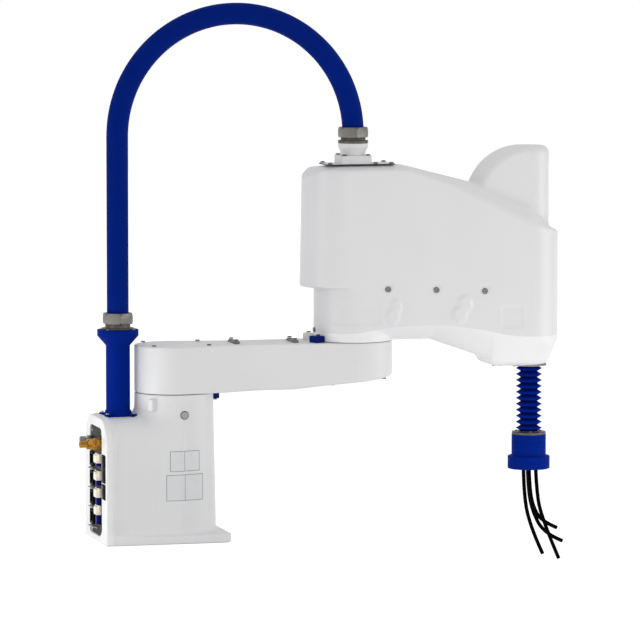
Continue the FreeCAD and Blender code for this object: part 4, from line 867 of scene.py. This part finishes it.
# Nodes with broken edges and the width of the break, in metres
SOFT = [("connector_panel", 0.0006), ("panel_plugs", 0.0006), ("panel_sockets", 0.0004),
        ("panel_clips", 0.0002), ("air_fittings", 0.0003), ("blank_plates", 0.0003),
        ("riser_gland", 0.0005), ("riser_nut", 0.0010), ("arm1_lid", 0.0010), ("cable_bars", 0.0006),
        ("stop_bumpers", 0.0012), ("nose_ring", 0.0005), ("duct_plate", 0.0011), ("duct_block", 0.0010),
        ("duct_cup", 0.0010), ("duct_gland", 0.0006), ("duct_nut", 0.0010), ("carriage_ring", 0.0005),
        ("tool_collar", 0.0012), ("riser_pipe", 0.0012), ("cover_screws", 0.0004), ("side_plug", 0.0006)]
trims = {name: softened(name, width) for name, width in SOFT}
spun(trims["riser_nut"], RISER_X, NUT_TURN)
spun(trims["duct_nut"], AXIS_2, NUT_TURN)
# The duct plate's side faces are painted dark grey: painted shade along its edges
retint(trims["duct_plate"], seal_grey, lambda spot, normal: abs(normal.z) < 0.3)
retint(trims["side_plug"], seal_grey,
       lambda spot, normal: math.hypot(spot.x / MM - SIDE_PLUG[0], spot.z / MM - SIDE_PLUG[1]) > SIDE_PLUG_R)
retint(trims["panel_plugs"], plug_blue, lower_plug)
settle_plugs(trims["panel_plugs"])
retint(trims["air_fittings"], steel_turned, lambda spot, normal: abs(spot.y / MM - STEEL_Y) < STEEL_HALF)
retint(trims["stop_bumpers"], casting_paint, lambda spot, normal: spot.y > 0.02)


# Geometry Nodes tree with named sizes; inputs are set by their identifiers
class Tree:
    def __init__(self, name, sizes):
        self.group = bpy.data.node_groups.new(name, "GeometryNodeTree")
        face = self.group.interface
        face.new_socket("Geometry", in_out="INPUT", socket_type="NodeSocketGeometry")
        for label, value in sizes.items():
            kind = "NodeSocketInt" if isinstance(value, int) else "NodeSocketFloat"
            face.new_socket(label, in_out="INPUT", socket_type=kind).default_value = value
        face.new_socket("Geometry", in_out="OUTPUT", socket_type="NodeSocketGeometry")
        self.given = self.group.nodes.new("NodeGroupInput").outputs
        self.result = self.group.nodes.new("NodeGroupOutput").inputs

    def add(self, kind, links, **settings):
        node = self.group.nodes.new(kind if kind.startswith("Shader") else "GeometryNode" + kind)
        for key, value in settings.items():
            setattr(node, key, value)
        for label, value in links.items():
            if isinstance(value, bpy.types.NodeSocket):
                self.group.links.new(value, node.inputs[label])
            else:
                node.inputs[label].default_value = value
        return node

    def math(self, operation, a, b=0.0):
        return self.add("ShaderNodeMath", {0: a, 1: b}, operation=operation).outputs[0]

    def close(self, geometry, material):
        shaded = self.add("SetShadeSmooth", {"Geometry": geometry})
        real = self.add("RealizeInstances", {"Geometry": shaded.outputs["Geometry"]})
        dressed = self.add("SetMaterial", {"Geometry": real.outputs["Geometry"], "Material": material})
        self.group.links.new(dressed.outputs["Geometry"], self.result["Geometry"])

    def grow(self, piece, sizes):
        tool = piece.modifiers.new("tree", "NODES")
        tool.node_group = self.group
        for item in self.group.interface.items_tree:
            if item.in_out == "INPUT" and item.name in sizes:
                tool[item.identifier] = sizes[item.name]
        return baked(piece)


def path_mesh(name, points):
    mesh = bpy.data.meshes.new(name)
    mesh.from_pydata(points, [(k, k + 1) for k in range(len(points) - 1)], [])
    return mesh


# Hose: a round section led along its path
def make_hose():
    tree = Tree("hose", {"Radius": HOSE_R, "Sides": 64, "Spacing": 0.012})
    line = tree.add("MeshToCurve", {"Mesh": tree.given["Geometry"]}).outputs["Curve"]
    even = tree.add("ResampleCurve", {"Curve": line, "Length": tree.given["Spacing"]}, mode="LENGTH")
    ring = tree.add("CurvePrimitiveCircle", {"Resolution": tree.given["Sides"],
                                             "Radius": tree.given["Radius"]})
    tube = tree.add("CurveToMesh", {"Curve": even.outputs["Curve"], "Profile Curve": ring.outputs["Curve"],
                                    "Fill Caps": True})
    tree.close(tube.outputs["Mesh"], hose_blue)
    low, spring, right, bend = 516.5, 978.0, 964.0, 294.0
    points = [(RISER_X, 0, low + (spring - low) * k / 20) for k in range(20)]
    turns = [math.pi * k / 64 for k in range(65)]
    points += [(AXIS_2 - bend - bend * math.cos(a), 0, spring + bend * math.sin(a)) for a in turns]
    points.append((AXIS_2, 0, right))
    hose = place("duct_hose_skin", path_mesh("duct_hose_skin", [[c * MM for c in q] for q in points]))
    tree.grow(hose, {"Radius": HOSE_R})
    smooth(hose, 50)
    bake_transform(hose)
    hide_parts("duct_hose")


# Boot: pleats whose radius swings between crest and root along the axis
def make_boot():
    tree = Tree("pleats", {"Low": BOOT_LOW, "High": BOOT_HIGH, "Crest": CREST_R, "Root": ROOT_R,
                           "Pleats": 11, "Rows": 133})
    pose = [tree.add("ShaderNodeCombineXYZ", {0: AXIS_3 * MM, 1: 0.0, 2: tree.given[end]})
            for end in ("High", "Low")]
    line = tree.add("CurvePrimitiveLine", {"Start": pose[0].outputs[0], "End": pose[1].outputs[0]})
    rows = tree.add("ResampleCurve", {"Curve": line.outputs["Curve"], "Count": tree.given["Rows"]})
    way = tree.add("SplineParameter", {}).outputs["Factor"]
    sides = tree.math("MULTIPLY", tree.given["Pleats"], 2.0)
    swing = tree.math("PINGPONG", tree.math("MULTIPLY", way, sides), 1.0)
    eased_swing = tree.math("POWER", swing, 1.12)
    depth = tree.math("SUBTRACT", tree.given["Crest"], tree.given["Root"])
    radius = tree.math("ADD", tree.given["Root"], tree.math("MULTIPLY", eased_swing, depth))
    sized = tree.add("SetCurveRadius", {"Curve": rows.outputs["Curve"], "Radius": radius})
    ring = tree.add("CurvePrimitiveCircle", {"Resolution": 64, "Radius": 1.0})
    tube = tree.add("CurveToMesh", {"Curve": sized.outputs["Curve"], "Profile Curve": ring.outputs["Curve"],
                                    "Scale": radius, "Fill Caps": True})
    tree.close(tube.outputs["Mesh"], bellows_blue)
    path = path_mesh("boot_pleats", [(AXIS_3 * MM, 0, z) for z in (BOOT_LOW, BOOT_HIGH)])
    boot = place("boot_pleats", path)
    tree.grow(boot, {"Crest": CREST_R, "Root": ROOT_R})
    smooth(boot, 24)
    # Height within each pleat, 0 at the root and 1 at the crest, which sets the painted shade in the valleys
    crest = boot.data.attributes.new("crest", "FLOAT", "POINT")
    crest.data.foreach_set("value", [(math.hypot(v.co.x - AXIS_3 * MM, v.co.y) - ROOT_R) / (CREST_R - ROOT_R)
                                     for v in boot.data.vertices])
    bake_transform(boot)
    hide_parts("boot")


# Separate solids of a node, in the order of the mesh's points: the box of each, in metres
def islands(node):
    shape = bmesh.new()
    shape.from_mesh(nodes[node].data)
    bmesh.ops.remove_doubles(shape, verts=shape.verts, dist=WELD)
    left = set(shape.verts)
    boxes = []
    for first in shape.verts:
        if first not in left:
            continue
        left.remove(first)
        group = [first]
        for vert in group:
            for edge in vert.link_edges:
                other = edge.other_vert(vert)
                if other in left:
                    left.remove(other)
                    group.append(other)
        spots = np.array([v.co for v in group])
        boxes.append((spots.min(0), spots.max(0)))
    shape.free()
    return boxes


# Cap screw heads: a chamfered round head with a six-sided socket, set on points
def screw_tree(washer):
    tree = Tree("cap_heads", HEAD)
    tall = tree.math("MULTIPLY", tree.given["Size"], tree.given["Tall"])
    head = tree.add("MeshCylinder", {"Vertices": 40, "Radius": tree.given["Size"], "Depth": tall})
    wide = tree.math("MULTIPLY", tree.given["Size"], 2.0)
    chamfer = tree.math("MULTIPLY", tree.given["Size"], tree.given["Bevel"])
    brim = tree.math("SUBTRACT", tree.given["Size"], chamfer)
    cap = tree.add("MeshCone", {"Vertices": 40, "Radius Top": brim, "Radius Bottom": wide, "Depth": tall})
    trim = tree.add("MeshBoolean", {"Mesh 2": head.outputs["Mesh"]}, operation="INTERSECT", solver="EXACT")
    tree.group.links.new(cap.outputs["Mesh"], trim.inputs["Mesh 2"])
    socket = tree.math("MULTIPLY", tree.given["Size"], tree.given["Socket"])
    key = tree.add("MeshCylinder", {"Vertices": 6, "Radius": socket, "Depth": tall})
    lift = tree.add("ShaderNodeCombineXYZ", {0: 0.0, 1: 0.0, 2: tree.math("MULTIPLY", tall, 0.42)})
    raised = tree.add("Transform", {"Geometry": key.outputs["Mesh"], "Translation": lift.outputs[0]})
    done = tree.add("MeshBoolean", {"Mesh 1": trim.outputs["Mesh"], "Mesh 2": raised.outputs["Geometry"]},
                    operation="DIFFERENCE", solver="EXACT")
    stand = tree.add("ShaderNodeCombineXYZ", {0: 0.0, 1: 0.0, 2: tree.math("MULTIPLY", tall, 0.5)})
    seated = tree.add("Transform", {"Geometry": done.outputs["Mesh"], "Translation": stand.outputs[0]})
    if washer:
        wide, thin = (tree.math("MULTIPLY", tree.given["Size"], part) for part in (1.35, 0.3))
        disc = tree.add("MeshCylinder", {"Vertices": 40, "Radius": wide, "Depth": thin})
        both = tree.add("JoinGeometry", {"Geometry": seated.outputs["Geometry"]})
        tree.group.links.new(disc.outputs["Mesh"], both.inputs["Geometry"])
        seated = both
    turn = tree.add("InputNamedAttribute", {"Name": "turn"}, data_type="FLOAT_VECTOR")
    size = tree.add("InputNamedAttribute", {"Name": "size"}, data_type="FLOAT")
    spread = tree.add("InstanceOnPoints", {
        "Points": tree.given["Geometry"], "Instance": seated.outputs["Geometry"],
        "Rotation": turn.outputs["Attribute"], "Scale": size.outputs["Attribute"]})
    return tree, spread.outputs["Instances"]


def set_screws(name, body, spots, material, replaced, washer=False):
    tree, heads = screw_tree(washer)
    tree.close(heads, material)
    mesh = bpy.data.meshes.new(name)
    mesh.from_pydata([spot[0] for spot in spots], [], [])
    mesh.attributes.new("turn", "FLOAT_VECTOR", "POINT").data.foreach_set(
        "vector", [c for spot in spots for c in spot[1]])
    mesh.attributes.new("size", "FLOAT", "POINT").data.foreach_set(
        "value", [spot[2] / HEAD["Size"] for spot in spots])
    piece = tree.grow(place(name, mesh), HEAD)
    smooth(piece, 30)
    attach(piece, body)
    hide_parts(*replaced)


# Heads on a node's own screws that stand along Z: up is 1 for heads on top, -1 for heads below
def heads_of(node, up, grow=1.0):
    spots = []
    for k, (low, high) in enumerate(islands(node)):
        r = (high[0] - low[0]) / 2
        z = high[2] - r * HEAD_TALL if up > 0 else low[2] + r * HEAD_TALL
        turn = 0.37 * k
        spots.append((((low[0] + high[0]) / 2, (low[1] + high[1]) / 2, z),
                      (0.0 if up > 0 else math.pi, 0.0, turn), r * grow))
    return spots


def make_screws():
    set_screws("riser_screw_heads", "base", heads_of("riser_bolts", 1), steel_turned, ["riser_bolts"])
    set_screws("duct_screw_heads", "arm_2", heads_of("duct_screws", 1, 1.25), steel_dark, ["duct_screws"],
               washer=True)
    top = [head for head in heads_of("arm1_screws", 1, 1.3) if head[0][2] > ARM_MIDDLE]
    under = [((x, y, z - 0.0015 * (x > 0.3)), turn, size)
             for (x, y, z), turn, size in heads_of("arm1_screws", -1, 1.15) if z < ARM_MIDDLE]
    set_screws("arm_screw_heads", "arm_1", top + under, steel_dark, ["arm1_screws"])
    set_screws("nose_screw_heads", "arm_2", heads_of("nose_screws", -1), steel_dark, ["nose_screws"])
    set_screws("carriage_screw_heads", "carriage", heads_of("carriage_screws", 1), steel_turned,
               ["carriage_screws"])


make_hose()
make_boot()
make_screws()


# Place on the near side of the base where its field has the given value
def base_side(x, z, value):
    near, far = -200.0, -60.0
    for _ in range(40):
        middle = (near + far) / 2
        if base_field(np.array(x), np.array(middle), np.array(z)) > value:
            near = middle
        else:
            far = middle
    return near


# Label plates: plain film with a thin grey frame and one plain divider
def make_labels():
    points, faces, kinds = [], [], []
    line, thick = 1.1, 0.6
    for x0, x1, z0, z1, middle in ((-33, 43, 174, 223, 3.5), (-42, 52, 103, 166, 4.5)):
        left, right = middle - line / 2, middle + line / 2
        xs = [x0, x0 + line] + list(np.linspace(x0 + line, left, 8)[1:]) + [right]
        xs += list(np.linspace(right, x1 - line, 8)[1:]) + [x1]
        zs = [z0, z0 + line] + list(np.linspace(z0 + line, z1 - line, 6)[1:]) + [z1]
        first = len(points)
        for value in (thick, 0.02):
            points += [(x, base_side(x, z, value), z) for x in xs for z in zs]
        rows, half = len(zs), len(xs) * len(zs)
        for i in range(len(xs) - 1):
            for j in range(rows - 1):
                a = first + i * rows + j
                quad = [a, a + rows, a + rows + 1, a + 1]
                edge = i in (0, len(xs) - 2) or j in (0, rows - 2) or xs[i] == left
                faces += [quad, [v + half for v in reversed(quad)]]
                kinds += [int(edge), int(edge)]
        rim = [i * rows for i in range(len(xs))] + [(len(xs) - 1) * rows + j for j in range(1, rows)]
        rim += [i * rows + rows - 1 for i in range(len(xs) - 2, -1, -1)] + [j for j in range(rows - 2, 0, -1)]
        for k, v in enumerate(rim):
            w = rim[(k + 1) % len(rim)]
            faces.append([first + w, first + v, first + v + half, first + w + half])
            kinds.append(1)
    mesh = mesh_from("label_films", [[c * MM for c in q] for q in points], faces)
    mesh.materials.append(label_film)
    mesh.materials.append(label_line)
    mesh.polygons.foreach_set("material_index", kinds)
    piece = smooth(place("label_films", mesh), 30)
    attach(piece, "base")
    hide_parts("label_plates")


make_labels()
